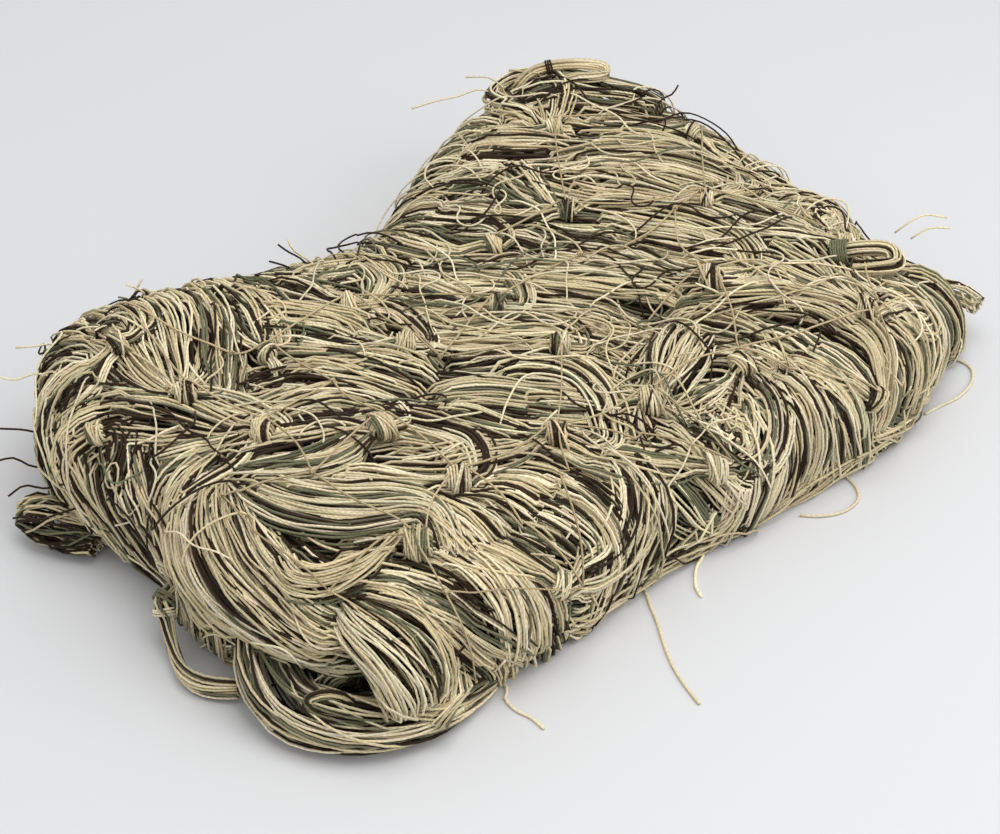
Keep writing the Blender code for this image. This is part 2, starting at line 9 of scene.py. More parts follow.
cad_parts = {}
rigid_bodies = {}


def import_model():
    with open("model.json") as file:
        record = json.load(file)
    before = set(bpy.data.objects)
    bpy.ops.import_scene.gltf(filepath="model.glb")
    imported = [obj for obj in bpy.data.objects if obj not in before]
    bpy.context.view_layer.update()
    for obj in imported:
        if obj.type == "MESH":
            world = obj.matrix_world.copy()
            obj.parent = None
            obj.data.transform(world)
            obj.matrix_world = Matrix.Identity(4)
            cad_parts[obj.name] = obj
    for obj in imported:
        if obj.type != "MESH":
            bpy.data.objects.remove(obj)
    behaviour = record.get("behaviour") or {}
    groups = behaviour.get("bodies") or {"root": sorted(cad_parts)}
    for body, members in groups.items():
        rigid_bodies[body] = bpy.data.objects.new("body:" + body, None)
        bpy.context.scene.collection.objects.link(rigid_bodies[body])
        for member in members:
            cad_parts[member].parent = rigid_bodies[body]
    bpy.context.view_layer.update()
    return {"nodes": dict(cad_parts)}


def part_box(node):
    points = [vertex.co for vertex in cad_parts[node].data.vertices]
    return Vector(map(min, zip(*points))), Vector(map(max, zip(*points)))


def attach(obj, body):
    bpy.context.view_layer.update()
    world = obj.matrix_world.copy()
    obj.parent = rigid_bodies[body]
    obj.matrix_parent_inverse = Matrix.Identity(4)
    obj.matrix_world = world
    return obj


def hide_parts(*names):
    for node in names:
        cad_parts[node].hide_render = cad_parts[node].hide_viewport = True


for old in list(bpy.data.objects):  # the starting cube, light and camera
    bpy.data.objects.remove(old)
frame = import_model()
rng = np.random.default_rng(20)
fullTurn = 2 * math.pi
skyward = np.array([0.0, 0, 1])


def addObject(name, data):
    made = bpy.data.objects.new(name, data)
    bpy.context.collection.objects.link(made)
    return made


def aim(thing, place, target):
    thing.location = place
    thing.rotation_euler = (Vector(target) - thing.location).to_track_quat("-Z", "Y").to_euler()


view = {"turn": -45, "rise": 38, "away": 1.5, "lens": 103.6, "target": (0, 0, 0.03)}


def addCamera(spec):
    turn, rise = math.radians(spec["turn"]), math.radians(spec["rise"])
    back = Vector((math.sin(turn) * math.cos(rise), -math.cos(turn) * math.cos(rise), math.sin(rise)))
    camera = addObject("camera", bpy.data.cameras.new("camera"))
    camera.data.lens = spec["lens"]
    aim(camera, Vector(spec["target"]) + back * spec["away"], spec["target"])
    bpy.context.scene.camera = camera


addCamera(view)


def unit(v):
    return v / np.maximum(np.linalg.norm(v, axis=-1, keepdims=True), 1e-12)


def wayAt(turn):
    return np.array([math.cos(turn), math.sin(turn)])


def easeIn(t):
    t = np.clip(t, 0, 1)
    return t * t * (3 - 2 * t)


def mm(rows):
    return np.array(rows) * 0.001


def smoothLine(points, step=0.0015):  # even points on a smooth curve through the given ones
    points = np.asarray(points, float)
    if len(points) == 2:
        points = np.array([points[0], points.mean(0), points[1]])
    padded = np.vstack([2 * points[0] - points[1], points, 2 * points[-1] - points[-2]])
    legs = []
    for i in range(1, len(padded) - 2):
        a, b, c, d = padded[i - 1:i + 3]
        t = np.linspace(0, 1, 24, endpoint=False)[:, None]
        m1, m2 = (c - a) / 2, (d - b) / 2
        legs.append((2 * t**3 - 3 * t**2 + 1) * b + (t**3 - 2 * t**2 + t) * m1
                    + (3 * t**2 - 2 * t**3) * c + (t**3 - t**2) * m2)
    line = np.vstack(legs + [points[-1:]])
    run = np.r_[0, np.cumsum(np.linalg.norm(np.diff(line, axis=0), axis=1))]
    at = np.linspace(0, run[-1], max(4, int(round(run[-1] / step)) + 1))
    return np.stack([np.interp(at, run, line[:, k]) for k in range(line.shape[1])], 1)


def thinOut(line, longest, turn=0.26):  # fewer points where the line is straight
    along = unit(np.gradient(line, axis=0))
    step = np.linalg.norm(line[1] - line[0])
    kept = [0]
    for i in range(1, len(line) - 1):
        bend = math.acos(float(np.clip(along[i] @ along[kept[-1]], -1, 1)))
        if (i - kept[-1]) * step >= longest or bend > turn:
            kept.append(i)
    return np.array(kept + [len(line) - 1])


def everyOther(line):  # with the last point
    return np.r_[0:len(line) - 1:2, len(line) - 1]


def blurGrid(grid, cells, rounds=2):  # box blur, the borders carried on
    for _ in range(rounds):
        for axis in (0, 1):
            padded = np.pad(grid, [(cells + 1, cells) if k == axis else (0, 0) for k in (0, 1)], mode="edge")
            total = np.cumsum(padded, axis)
            size = grid.shape[axis]
            high = np.take(total, np.arange(2 * cells + 1, 2 * cells + 1 + size), axis)
            grid = (high - np.take(total, np.arange(0, size), axis)) / (2 * cells + 1)
    return grid


def nearCell(p, low, cell, size):
    return tuple(np.clip(np.round((p[..., k] - low[k]) / cell).astype(int), 0, size[k] - 1) for k in (0, 1))


def readGrid(grid, u, v):  # value of a grid between its cells
    u, v = np.clip(u, 0, grid.shape[0] - 1.001), np.clip(v, 0, grid.shape[1] - 1.001)
    i, j = u.astype(int), v.astype(int)
    u, v = u - i, v - j
    if grid.ndim == 3:
        u, v = u[..., None], v[..., None]
    return ((grid[i, j] * (1 - u) + grid[i + 1, j] * u) * (1 - v)
            + (grid[i, j + 1] * (1 - u) + grid[i + 1, j + 1] * u) * v)


def roundOff(values, width):  # evens out values that run round the pack
    kernel = np.hanning(2 * width + 3)
    return np.convolve(np.r_[values[-width - 1:], values, values[:width + 1]], kernel / kernel.sum(), "valid")


packForm = {
    "middle": (0.02, 0.02),  # a point inside the outline
    "angles": 720,
    "inset": 0.001,          # yarn starts this far inside the solid's sides
    "under": 0.006,          # and this far under its top
    "dips": (                # where it starts lower: place, reach, depth
        ((0.238, 0.030), 0.055, 0.010), ((0.235, -0.070), 0.060, 0.018), ((0.228, -0.030), 0.050, 0.004),
        ((-0.120, 0.145), 0.075, -0.019), ((-0.050, 0.140), 0.065, -0.012),
        ((-0.180, 0.070), 0.040, -0.001), ((0.185, 0.150), 0.055, -0.006),
        ((0.005, 0.120), 0.060, -0.008), ((0.100, 0.150), 0.060, -0.004),
    ),
    "bulges": (              # where its sides stand further out: place, reach, distance
        ((-0.130, 0.155), 0.060, 0.013), ((-0.085, 0.150), 0.080, 0.013), ((-0.010, 0.120), 0.070, 0.009),
        ((0.105, 0.150), 0.070, 0.009), ((-0.210, 0.055), 0.075, -0.021), ((-0.210, 0.110), 0.050, -0.008),
        ((-0.100, -0.115), 0.055, 0.013), ((0.060, -0.125), 0.090, 0.007), ((0.150, -0.130), 0.070, 0.004),
        ((0.245, 0.040), 0.045, 0.005), ((0.255, -0.035), 0.065, -0.021),
        ((0.225, 0.095), 0.050, -0.002), ((0.215, -0.115), 0.040, -0.005),
    ),
    "edge": 0.024,           # rounding of the upper edges
    "foot": 0.007,           # rounding at the surface
    "floor": 0.005,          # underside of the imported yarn
    "topCell": 0.004,        # grid of the solid's top
    "cell": 0.002,           # grid of the unfolded surface
    "reach": 0.150,          # how far the unfolded sides go out
}


class Pack:
    # The pack unfolded: inside the ring a place is its plan position, outside it the sides are folded
    # out flat, so that a line drawn on the plane runs on over the edge and down the side.
    def __init__(self, spec):
        self.spec, self.middle = spec, np.array(spec["middle"])
        self.findRing(self.readTop())
        self.ringHeight = roundOff(self.topAt(self.ring), 9)
        self.unroll()

    def readTop(self):  # height of the net's solid, and where it is
        spec, data = self.spec, frame["nodes"]["folded_net"].data
        data.calc_loop_triangles()
        tree = BVHTree.FromPolygons([v.co.copy() for v in data.vertices],
                                    [tuple(t.vertices) for t in data.loop_triangles])
        low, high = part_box("folded_net")
        self.xs = np.arange(low.x - 0.01, high.x + 0.01, spec["topCell"])
        self.ys = np.arange(low.y - 0.01, high.y + 0.01, spec["topCell"])
        hits = [[tree.ray_cast(Vector((x, y, 1)), Vector((0, 0, -1)))[0] for y in self.ys] for x in self.xs]
        inside = np.array([[hit is not None for hit in row] for row in hits])
        top = np.array([[hit.z if hit else 0.0 for hit in row] for row in hits])
        weight = blurGrid(inside.astype(float), 2)
        solid = np.where(weight > 0.02, blurGrid(top, 2) / np.maximum(weight, 0.02), 0)
        self.top = solid - spec["under"]
        for place, reach, depth in spec["dips"]:
            away = np.hypot(self.xs[:, None] - place[0], self.ys[None] - place[1])
            self.top = self.top - depth * easeIn(1 - away / reach)
        return inside

    def topAt(self, p):
        cell = self.spec["topCell"]
        return readGrid(self.top, (p[..., 0] - self.xs[0]) / cell, (p[..., 1] - self.ys[0]) / cell)

    def findRing(self, inside):  # the line where the top bends over into the sides
        spec = self.spec
        theta = np.linspace(0, fullTurn, spec["angles"], endpoint=False)
        way = np.stack([np.cos(theta), np.sin(theta)], 1)
        steps = np.arange(0, 0.36, 0.001)
        rays = self.middle + way[:, None] * steps[None, :, None]
        cells = nearCell(rays, (self.xs[0], self.ys[0]), spec["topCell"], inside.shape)
        reach = (inside[cells] * steps).max(1)
        outline = self.middle + way * reach[:, None]
        for place, size, far in spec["bulges"]:
            reach = reach + far * easeIn(1 - np.linalg.norm(outline - np.array(place), axis=1) / size)
        outline = self.middle + way * roundOff(reach, 7)[:, None]
        clear = np.full(rays.shape[:2], 9.0)
        for k in range(0, len(outline), 60):
            away = np.linalg.norm(rays[:, :, None] - outline[None, None, k:k + 60], axis=-1).min(-1)
            clear = np.minimum(clear, away)
        fits = (clear > spec["edge"] + spec["inset"]) & (steps[None] < reach[:, None])
        self.ring = self.middle + way * roundOff((fits * steps).max(1), 5)[:, None]

    def profile(self, e, height):  # at e out from the ring: distance out, height and slope of the side
        edge, foot, floor = (self.spec[k] for k in ("edge", "foot", "floor"))
        wall = np.maximum(height - edge - foot - floor, 0.001)
        s1, s3 = edge * math.pi / 2, foot * math.pi / 2
        a = np.clip(e / edge, 0, math.pi / 2)
        b = np.clip((e - s1 - wall) / foot, 0, math.pi / 2)
        out = edge * np.sin(a) - foot * (1 - np.cos(b)) - np.maximum(e - s1 - wall - s3, 0)
        return out, height - edge * (1 - np.cos(a)) - np.clip(e - s1, 0, wall) - foot * np.sin(b), a + b

    def nearRing(self, q):  # nearest point on the ring, and the top's height there
        a, b = self.ring, np.roll(self.ring, -1, 0)
        foot, height = np.zeros_like(q), np.zeros(len(q))
        for k in range(0, len(q), 2000):
            part = q[k:k + 2000]
            near = np.linalg.norm(part[:, None] - a[None], axis=-1).argmin(1)
            best = np.full(len(part), 9.0)
            for shift in (-1, 0):
                i = (near + shift) % len(a)
                span = b[i] - a[i]
                t = np.clip(((part - a[i]) * span).sum(1) / (span * span).sum(1), 0, 1)
                spot = a[i] + span * t[:, None]
                gap = np.linalg.norm(part - spot, axis=1)
                nearer = gap < best
                best = np.where(nearer, gap, best)
                level = self.ringHeight[i] * (1 - t) + self.ringHeight[(i + 1) % len(a)] * t
                foot[k:k + 2000][nearer] = spot[nearer]
                height[k:k + 2000][nearer] = level[nearer]
        return foot, height

    def unroll(self):  # place and slope of the surface for each cell of the plane
        cell = self.spec["cell"]
        self.low = self.ring.min(0) - self.spec["reach"]
        high = self.ring.max(0) + self.spec["reach"]
        axes = [np.arange(self.low[k], high[k], cell) for k in (0, 1)]
        self.size = len(axes[0]), len(axes[1])
        p = np.stack(np.meshgrid(*axes, indexing="ij"), -1).reshape(-1, 2)
        away = p - self.middle
        angle = np.arctan2(away[:, 1], away[:, 0]) % fullTurn
        radii = np.linalg.norm(self.ring - self.middle, axis=1)
        limit = np.interp(angle, np.linspace(0, fullTurn, len(radii) + 1), np.r_[radii, radii[0]])
        outside = np.linalg.norm(away, axis=1) > limit
        place, normal, beyond, aside = (np.zeros((len(p), n)) for n in (3, 3, 1, 2))
        q = p[~outside]
        slopes = [(self.topAt(q + d) - self.topAt(q - d)) / (4 * cell) for d in np.eye(2) * cell * 2]
        place[~outside] = np.c_[q, self.topAt(q)]
        normal[~outside] = unit(np.c_[-slopes[0], -slopes[1], np.ones(len(q))])
        foot, height = self.nearRing(p[outside])
        out = p[outside] - foot
        e = np.linalg.norm(out, axis=1)
        way = out / np.maximum(e, 1e-9)[:, None]
        distance, z, slope = self.profile(e, height)
        place[outside] = np.c_[foot + way * distance[:, None], z]
        normal[outside] = np.c_[way * np.sin(slope)[:, None], np.cos(slope)]
        beyond[outside, 0], aside[outside] = e, way
        self.place, self.normal, self.aside = (g.reshape(*self.size, -1) for g in (place, normal, aside))
        self.beyond = beyond.reshape(self.size)  # how far outside the ring

    def at(self, grid, p):  # value of a grid at places on the plane
        cell = self.spec["cell"]
        return readGrid(grid, (p[..., 0] - self.low[0]) / cell, (p[..., 1] - self.low[1]) / cell)

    def wrap(self, p, height):  # back onto the pack, at a height over its surface
        normal = unit(self.at(self.normal, p))
        return self.at(self.place, p) + normal * height[..., None], normal


pack = Pack(packForm)
print("pack form", pack.size, "ring height", pack.ringHeight.min(), pack.ringHeight.max())

yarn = {
    "radius": 0.00070,
    "tones": {
        "beige": (0.61, 0.520, 0.325), "pale": (0.75, 0.670, 0.465), "olive": (0.152, 0.152, 0.090),
        "dark": (0.031, 0.018, 0.009), "twine": (0.54, 0.43, 0.25),
    },
    "uneven": (0.10, 0.018),     # of a yarn's brightness, and of its colour
    "plain": {"beige": 0.43, "pale": 0.26, "olive": 0.13, "dark": 0.18},    # three mixes of yarns
    # darker goes on the pieces of the left side, which it makes darker: partly more dark yarn, partly painted
    # shade of that side
    "darker": {"beige": 0.35, "pale": 0.20, "olive": 0.15, "dark": 0.30},
    "lighter": {"beige": 0.50, "pale": 0.30, "olive": 0.09, "dark": 0.11},
    "runs": {"beige": (1, 2, 3, 4), "pale": (1, 2, 2, 3), "olive": (1, 1, 2), "dark": (1, 1, 1, 2)},
    "layer": 0.0015,             # height from one layer of yarn to the next
    "limit": 0.015,              # how much yarn piles up before it packs down
    "hidden": 0.0045,            # yarn further than this under the top of the pile is left out
    "turned": 2.399963,          # turn from one yarn to the next in a round bundle
    "filled": 0.72,              # share of a round bundle that is yarn
}


def tone(name, count=1):
    light, colour = yarn["uneven"]
    base = np.array(yarn["tones"][name])
    return base * (1 + light * rng.normal(size=(count, 1))) * (1 + colour * rng.normal(size=(count, 3)))


def inOrder(names, count):
    return np.concatenate([tone(names[i % len(names)]) for i in range(count)])


class Strands:
    # the yarns of a hank: their places across it from -1 to 1, and their colours in runs of neighbours
    def __init__(self, count, mix="plain", airy=0.8):
        names, weights = zip(*yarn[mix].items())
        weights = np.array([w / np.mean(yarn["runs"][n]) for n, w in zip(names, weights)])
        weights = weights / weights.sum()
        self.group = np.zeros(count, int)
        self.tones = np.zeros((count, 3))
        gaps = rng.uniform(0.6, 1.5, count)
        i = k = 0
        while i < count:
            name = names[int(rng.choice(len(names), p=weights))]
            size = min(int(rng.choice(yarn["runs"][name])), count - i)
            self.tones[i:i + size] = tone(name, size)
            self.group[i:i + size] = k
            gaps[i] += rng.exponential(1.0) * airy
            i, k = i + size, k + 1
        self.place = np.cumsum(gaps) - gaps[0]
        self.place = self.place / max(self.place[-1], 1e-9) * 2 - 1
        self.count, self.groups = count, k
        self.layer = rng.uniform(0, 1.9 if count > 8 else 0.6, count)
        out = np.sqrt((np.arange(count) + 0.5) / count)
        turn = np.arange(count) * yarn["turned"]
        disc = np.stack([out * np.cos(turn), out * np.sin(turn)], 1)
        self.disc = disc[np.argsort(disc[:, 0])]
        self.discRadius = yarn["radius"] * math.sqrt(count / yarn["filled"])


class Pile:
    # how high the yarn laid so far stands, over the unfolded surface
    def __init__(self):
        self.grid = np.zeros(pack.size)

    def cells(self, p):
        return nearCell(p, pack.low, pack.spec["cell"], pack.size)

    def bed(self, p, blur=2, packed=True):  # a smooth bed over what lies under these places
        pad = 3 * blur + 2
        (i0, i1), (j0, j1) = ((max(c.min() - pad, 0), min(c.max() + pad + 1, n))
                              for c, n in zip(self.cells(p), pack.size))
        window = self.grid[i0:i1, j0:j1]
        near = [np.roll(window, step, axis) for step, axis in ((1, 0), (-1, 0), (1, 1), (-1, 1))]
        smooth = blurGrid(np.maximum.reduce(near + [window]), blur)
        cell = pack.spec["cell"]
        found = readGrid(smooth, (p[..., 0] - pack.low[0]) / cell - i0, (p[..., 1] - pack.low[1]) / cell - j0)
        return yarn["limit"] * (1 - np.exp(-found / yarn["limit"])) if packed else found

    def stamp(self, p, height):  # p (yarns, stations, 2)
        np.maximum.at(self.grid, self.cells(p[:, :-1]), height[:, :-1] + yarn["radius"] * 0.5)


pile = Pile()
parts = {}  # piece name: bundles of yarn in it


def keep(piece, points, ups, tones, radius=yarn["radius"], closed=False, plan=None):
    radii = np.broadcast_to(float(radius), points.shape[:2])
    parts.setdefault(piece, []).append((points, ups, np.asarray(tones), radii, closed, plan))


def offFloor(points, share=1.05):
    points[..., 2] = np.maximum(points[..., 2], yarn["radius"] * share)
    return points


def soften(values, rounds, low=None):  # evens values out along each yarn, the ends stay
    for _ in range(rounds):
        values = values.copy()
        values[..., 1:-1] = (values[..., :-2] + 2 * values[..., 1:-1] + values[..., 2:]) / 4
        if low is not None:
            values = np.maximum(values, low)
    return values


def trimHidden(bundle):  # leaves out what lies deep under other yarn
    points, ups, tones, radii, closed, plan = bundle
    if plan is None:
        return [bundle[:5]]
    p, height = plan
    shown = height > pile.grid[pile.cells(p)] - yarn["hidden"]
    count = shown.shape[1]
    first = np.maximum(shown.argmax(1) - 1, 0)
    last = np.minimum(count - shown[:, ::-1].argmax(1) + 1, count)
    size = np.where(shown.any(1), np.maximum(last - first, 3), 0)
    first = np.minimum(first, count - size)
    found = []
    for length in np.unique(size[size > 0]):
        rows = np.flatnonzero(size == length)[:, None]
        at = first[rows] + np.arange(length)
        found.append((points[rows, at], ups[rows, at], tones[rows[:, 0]], radii[rows, at], closed))
    return found


laid = {
    "shared": ((0.019, 0.55), (0.0085, 0.15)),  # waves of neighbours together: length, height
    "own": ((0.014, 0.45), (0.0046, 0.22)),     # and of each yarn
    "ripple": ((0.010, 0.0006), (0.005, 0.0003)),
    "slide": (0.12, 0.10),                      # drift across the hank, of neighbours and of each yarn
    "late": (0.022, 0.75), "dive": 0.013,       # where the ends go under
}


def layBundle(piece, line, strands, width, tight, crown, dive, stations, turn, base=None, wander=0.0011,
              lift=0.0, stray=0.08):
    # width, tight and crown are given along the fine plane line, dive is the depth of each end
    step = np.linalg.norm(line[1] - line[0])
    along = unit(np.gradient(line, axis=0))
    across = np.stack([-along[:, 1], along[:, 0]], 1)
    s = np.arange(len(line)) * step
    length = step * (len(line) - 1)
    count, group = strands.count, strands.group
    phase = rng.uniform(0, fullTurn, (strands.groups, 3))[group]
    own = rng.uniform(0, fullTurn, (count, 4))
    waves = [np.sin(s[None] / long + phase[:, k:k + 1]) * high
             for k, (long, high) in zip((0, 1), laid["shared"])]
    waves += [np.sin(s[None] / long + own[:, k:k + 1]) * high for k, (long, high) in zip((0, 2), laid["own"])]
    loose = 1 - tight[None]
    together, single = laid["slide"]
    slide = rng.normal(size=(strands.groups, 1))[group] * together + rng.normal(size=(count, 1)) * single
    crossing = rng.random(count) < stray
    slide = slide + crossing[:, None] * rng.uniform(-1.0, 1.0, (count, 1))
    place = strands.place[:, None] + slide * (s[None] / length - 0.5)
    lateral = place * width[None] / 2 * loose + strands.disc[:, :1] * strands.discRadius * tight[None]
    lateral = lateral + sum(waves) * wander * loose
    p = line[None] + across[None] * lateral[..., None]
    bed = pile.bed(p)
    centre = pile.bed(line) if base is None else np.full(len(line), base)
    rise = yarn["radius"] + (strands.layer + crossing * 1.2)[:, None] * yarn["layer"]
    rise = rise + crown[None] * np.clip(1 - place**2, 0, 1)
    for k, (long, high) in zip((1, 3), laid["ripple"]):
        rise = rise + high * np.sin(s[None] / long + own[:, k:k + 1])
    disc = strands.discRadius * (1 + strands.disc[:, 1:2]) + yarn["radius"] * 0.4
    height = (bed + rise) * loose + (centre[None] + disc) * tight[None] + lift
    height = soften(height, 6 if step < 0.0018 else 4)
    latest, share = laid["late"]
    for end, run in ((dive[0], s), (dive[1], length - s)):
        if end:
            late = rng.uniform(0, min(latest, 0.2 * length), (count, 1)) * (rng.random((count, 1)) < share)
            rest = easeIn((run[None] - late) / laid["dive"])
            height = height * rest - end * (1 - rest)
    pile.stamp(p, height)
    at = thinOut(line, stations, turn)
    p, height = p[:, at], height[:, at]
    points, ups = pack.wrap(p, height)
    keep(piece, offFloor(points), ups, strands.tones, plan=(p, height))


def tubes(points, ups, radii, closed, sides):  # corners, faces and uv of a bundle of yarns
    count, stations = points.shape[:2]
    if closed:
        along = unit(np.roll(points, -1, 1) - np.roll(points, 1, 1))
    else:
        along = unit(np.gradient(points, axis=1))
    side = unit(np.cross(along, ups))
    up = np.cross(side, along)
    turn = fullTurn * (np.arange(sides) + 0.5) / sides
    ring = side[:, :, None] * np.cos(turn)[:, None] + up[:, :, None] * np.sin(turn)[:, None]
    verts = points[:, :, None] + ring * radii[:, :, None, None]
    legs = np.linalg.norm(np.diff(points, axis=1), axis=2)
    run = np.zeros((count, stations + 1))
    run[:, 1:stations] = np.cumsum(legs, 1)
    run[:, stations] = run[:, stations - 1] + legs.mean()
    run += rng.uniform(0, 1, (count, 1))
    first = (np.arange(count) * stations * sides)[:, None, None]
    k, m = np.arange(sides), np.arange(stations if closed else stations - 1)[:, None]
    corners = ((k, m), (k + 1, m), (k + 1, m + 1), (k, m + 1))
    quads = np.stack([first + b % stations * sides + a % sides for a, b in corners], -1).reshape(-1, 4)
    uv = [np.stack(np.broadcast_arrays(a / sides, run[:, b]), -1) for a, b in corners]
    uv = np.stack(uv, -2).reshape(-1, 4, 2)
    if not closed:
        heads = first[:, 0] + k[None]
        caps = np.concatenate([heads[:, ::-1], heads + (stations - 1) * sides])
        if sides == 8:
            caps = np.concatenate([caps[:, c] for c in ([0, 1, 2, 3], [0, 3, 4, 7], [4, 5, 6, 7])])
        quads = np.concatenate([quads, caps])
        uv = np.concatenate([uv, np.zeros((len(caps), 4, 2))])
    return verts.reshape(-1, 3), quads, uv


def fill(rows, name, values, kind=np.float32):
    rows.foreach_set(name, np.asarray(values).astype(kind).ravel())


def buildPiece(name, bundles, material, sides=4):
    made, shades, base = [], [], 0
    for points, ups, tones, radii, closed in (b for bundle in bundles for b in trimHidden(bundle)):
        verts, quads, uv = tubes(points, ups, radii, closed, sides)
        made.append((verts, quads + base, uv))
        each = np.broadcast_to(tones, (len(points), 3))
        shades.append(np.repeat(each, points.shape[1] * sides, axis=0))
        base += len(verts)
    verts, quads, uv = (np.concatenate(rows) for rows in zip(*made))
    data = bpy.data.meshes.new(name)
    data.vertices.add(len(verts))
    data.loops.add(quads.size)
    data.polygons.add(len(quads))
    fill(data.vertices, "co", verts)
    fill(data.loops, "vertex_index", quads, np.int32)
    fill(data.polygons, "loop_start", np.arange(0, quads.size, 4), np.int32)
    fill(data.polygons, "use_smooth", np.ones(len(quads)), bool)
    fill(data.uv_layers.new(name="yarnRun").uv, "vector", uv)
    data.update(calc_edges=True)
    colours = data.color_attributes.new("yarnTone", "FLOAT_COLOR", "POINT")
    fill(colours.data, "color", np.c_[np.clip(np.concatenate(shades), 0, 1), np.ones(len(verts))])
    data.materials.append(material)
    piece = addObject(name, data)
    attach(piece, "root")
    return piece


# paintedGrooveShade darkens the colour along the grooves between the plies: painted shade; grain and soil
# vary the yarn's own colour at random
twist = {"wave": 0.5, "paintedGrooveShade": (0.07, 0.93), "grain": (0.5, 0.76), "soil": (0.3, 0.86),
         "fibres": {"Scale": 900, "Detail": 3}, "patches": {"Scale": 60}}


def addNode(tree, kind, values=(), **settings):  # values: a number, or what is linked to the socket
    node = tree.nodes.new("ShaderNode" + kind)
    for name, value in settings.items():
        setattr(node, name, value)
    for socket, value in dict(values).items():
        if isinstance(value, bpy.types.NodeSocket):
            tree.links.new(value, node.inputs[socket])
        else:
            node.inputs[socket].default_value = value
    return node.outputs


def twistGroup(spec):  # the lay of the plies round a yarn, and fine fibres; the colour is darkened in the grooves between the plies as painted shade
    tree = bpy.data.node_groups.new("twistedPlies", "ShaderNodeTree")
    for name, way, kind in (("Plies", "INPUT", "Float"), ("Lay", "INPUT", "Float"),
                            ("Colour", "INPUT", "Color"), ("Colour", "OUTPUT", "Color"),
                            ("Height", "OUTPUT", "Float")):
        tree.interface.new_socket(name, in_out=way, socket_type="NodeSocket" + kind)
    given, result = tree.nodes.new("NodeGroupInput").outputs, tree.nodes.new("NodeGroupOutput").inputs
    run = addNode(tree, "SeparateXYZ", {0: addNode(tree, "UVMap", uv_map="yarnRun")[0]})
    place = addNode(tree, "TexCoord")["Object"]

    def maths(kind, *values):
        return addNode(tree, "Math", enumerate(values), operation=kind)[0]

    def about(value, size, base):
        return maths("ADD", maths("MULTIPLY", value, size), base)

    turns = maths("ADD", run[0], maths("DIVIDE", run[1], given["Lay"]))
    wave = maths("SINE", maths("MULTIPLY", maths("MULTIPLY", turns, given["Plies"]), fullTurn))
    fibre, soil = (addNode(tree, "TexNoise", {**spec[k], "Vector": place})[0] for k in ("fibres", "patches"))
    # painted shade in the ply grooves, times the fibre grain and soil patches
    shade = maths("MULTIPLY", about(wave, *spec["paintedGrooveShade"]), about(fibre, *spec["grain"]))
    shade = maths("MULTIPLY", shade, about(soil, *spec["soil"]))
    colour = addNode(tree, "VectorMath", {0: given["Colour"], "Scale": shade}, operation="SCALE")[0]
    tree.links.new(colour, result["Colour"])
    tree.links.new(about(wave, spec["wave"], fibre), result["Height"])
    return tree


plies = twistGroup(twist)


def finish(name, values):  # a material with values on its shader's sockets
    material = bpy.data.materials.new(name)
    material.use_nodes = True
    shader = material.node_tree.nodes["Principled BSDF"]
    for socket, value in values.items():
        shader.inputs[socket].default_value = value
    return material, shader


def yarnMaterial(name, count, lay, bump, roughness):
    material, shader = finish(name, {"Roughness": roughness, "Sheen Weight": 0.05, "Sheen Roughness": 0.5,
                                     "Specular IOR Level": 0.15})
    tree = material.node_tree
    tones = addNode(tree, "Attribute", attribute_name="yarnTone")["Color"]
    twisted = tree.nodes.new("ShaderNodeGroup")
    twisted.node_tree = plies
    twisted.inputs["Plies"].default_value = count
    twisted.inputs["Lay"].default_value = lay
    tree.links.new(tones, twisted.inputs["Colour"])
    height = twisted.outputs["Height"]
    raised = addNode(tree, "Bump", {"Strength": bump, "Distance": 0.0003, "Height": height})[0]
    tree.links.new(twisted.outputs["Colour"], shader.inputs["Base Color"])
    tree.links.new(raised, shader.inputs["Normal"])
    return material


yarnFinish = yarnMaterial("yarn", count=2, lay=0.0060, bump=0.28, roughness=0.9)
twineFinish = yarnMaterial("twine", count=3, lay=0.0030, bump=0.9, roughness=0.75)

# Hanks are bands of yarn: width, number of yarns, and the places that they pass, in mm on the unfolded
# plane. A band with out=True starts at its knot.


def band(width, count, *path, **more):
    return {"width": width, "count": count, "path": path, **more}


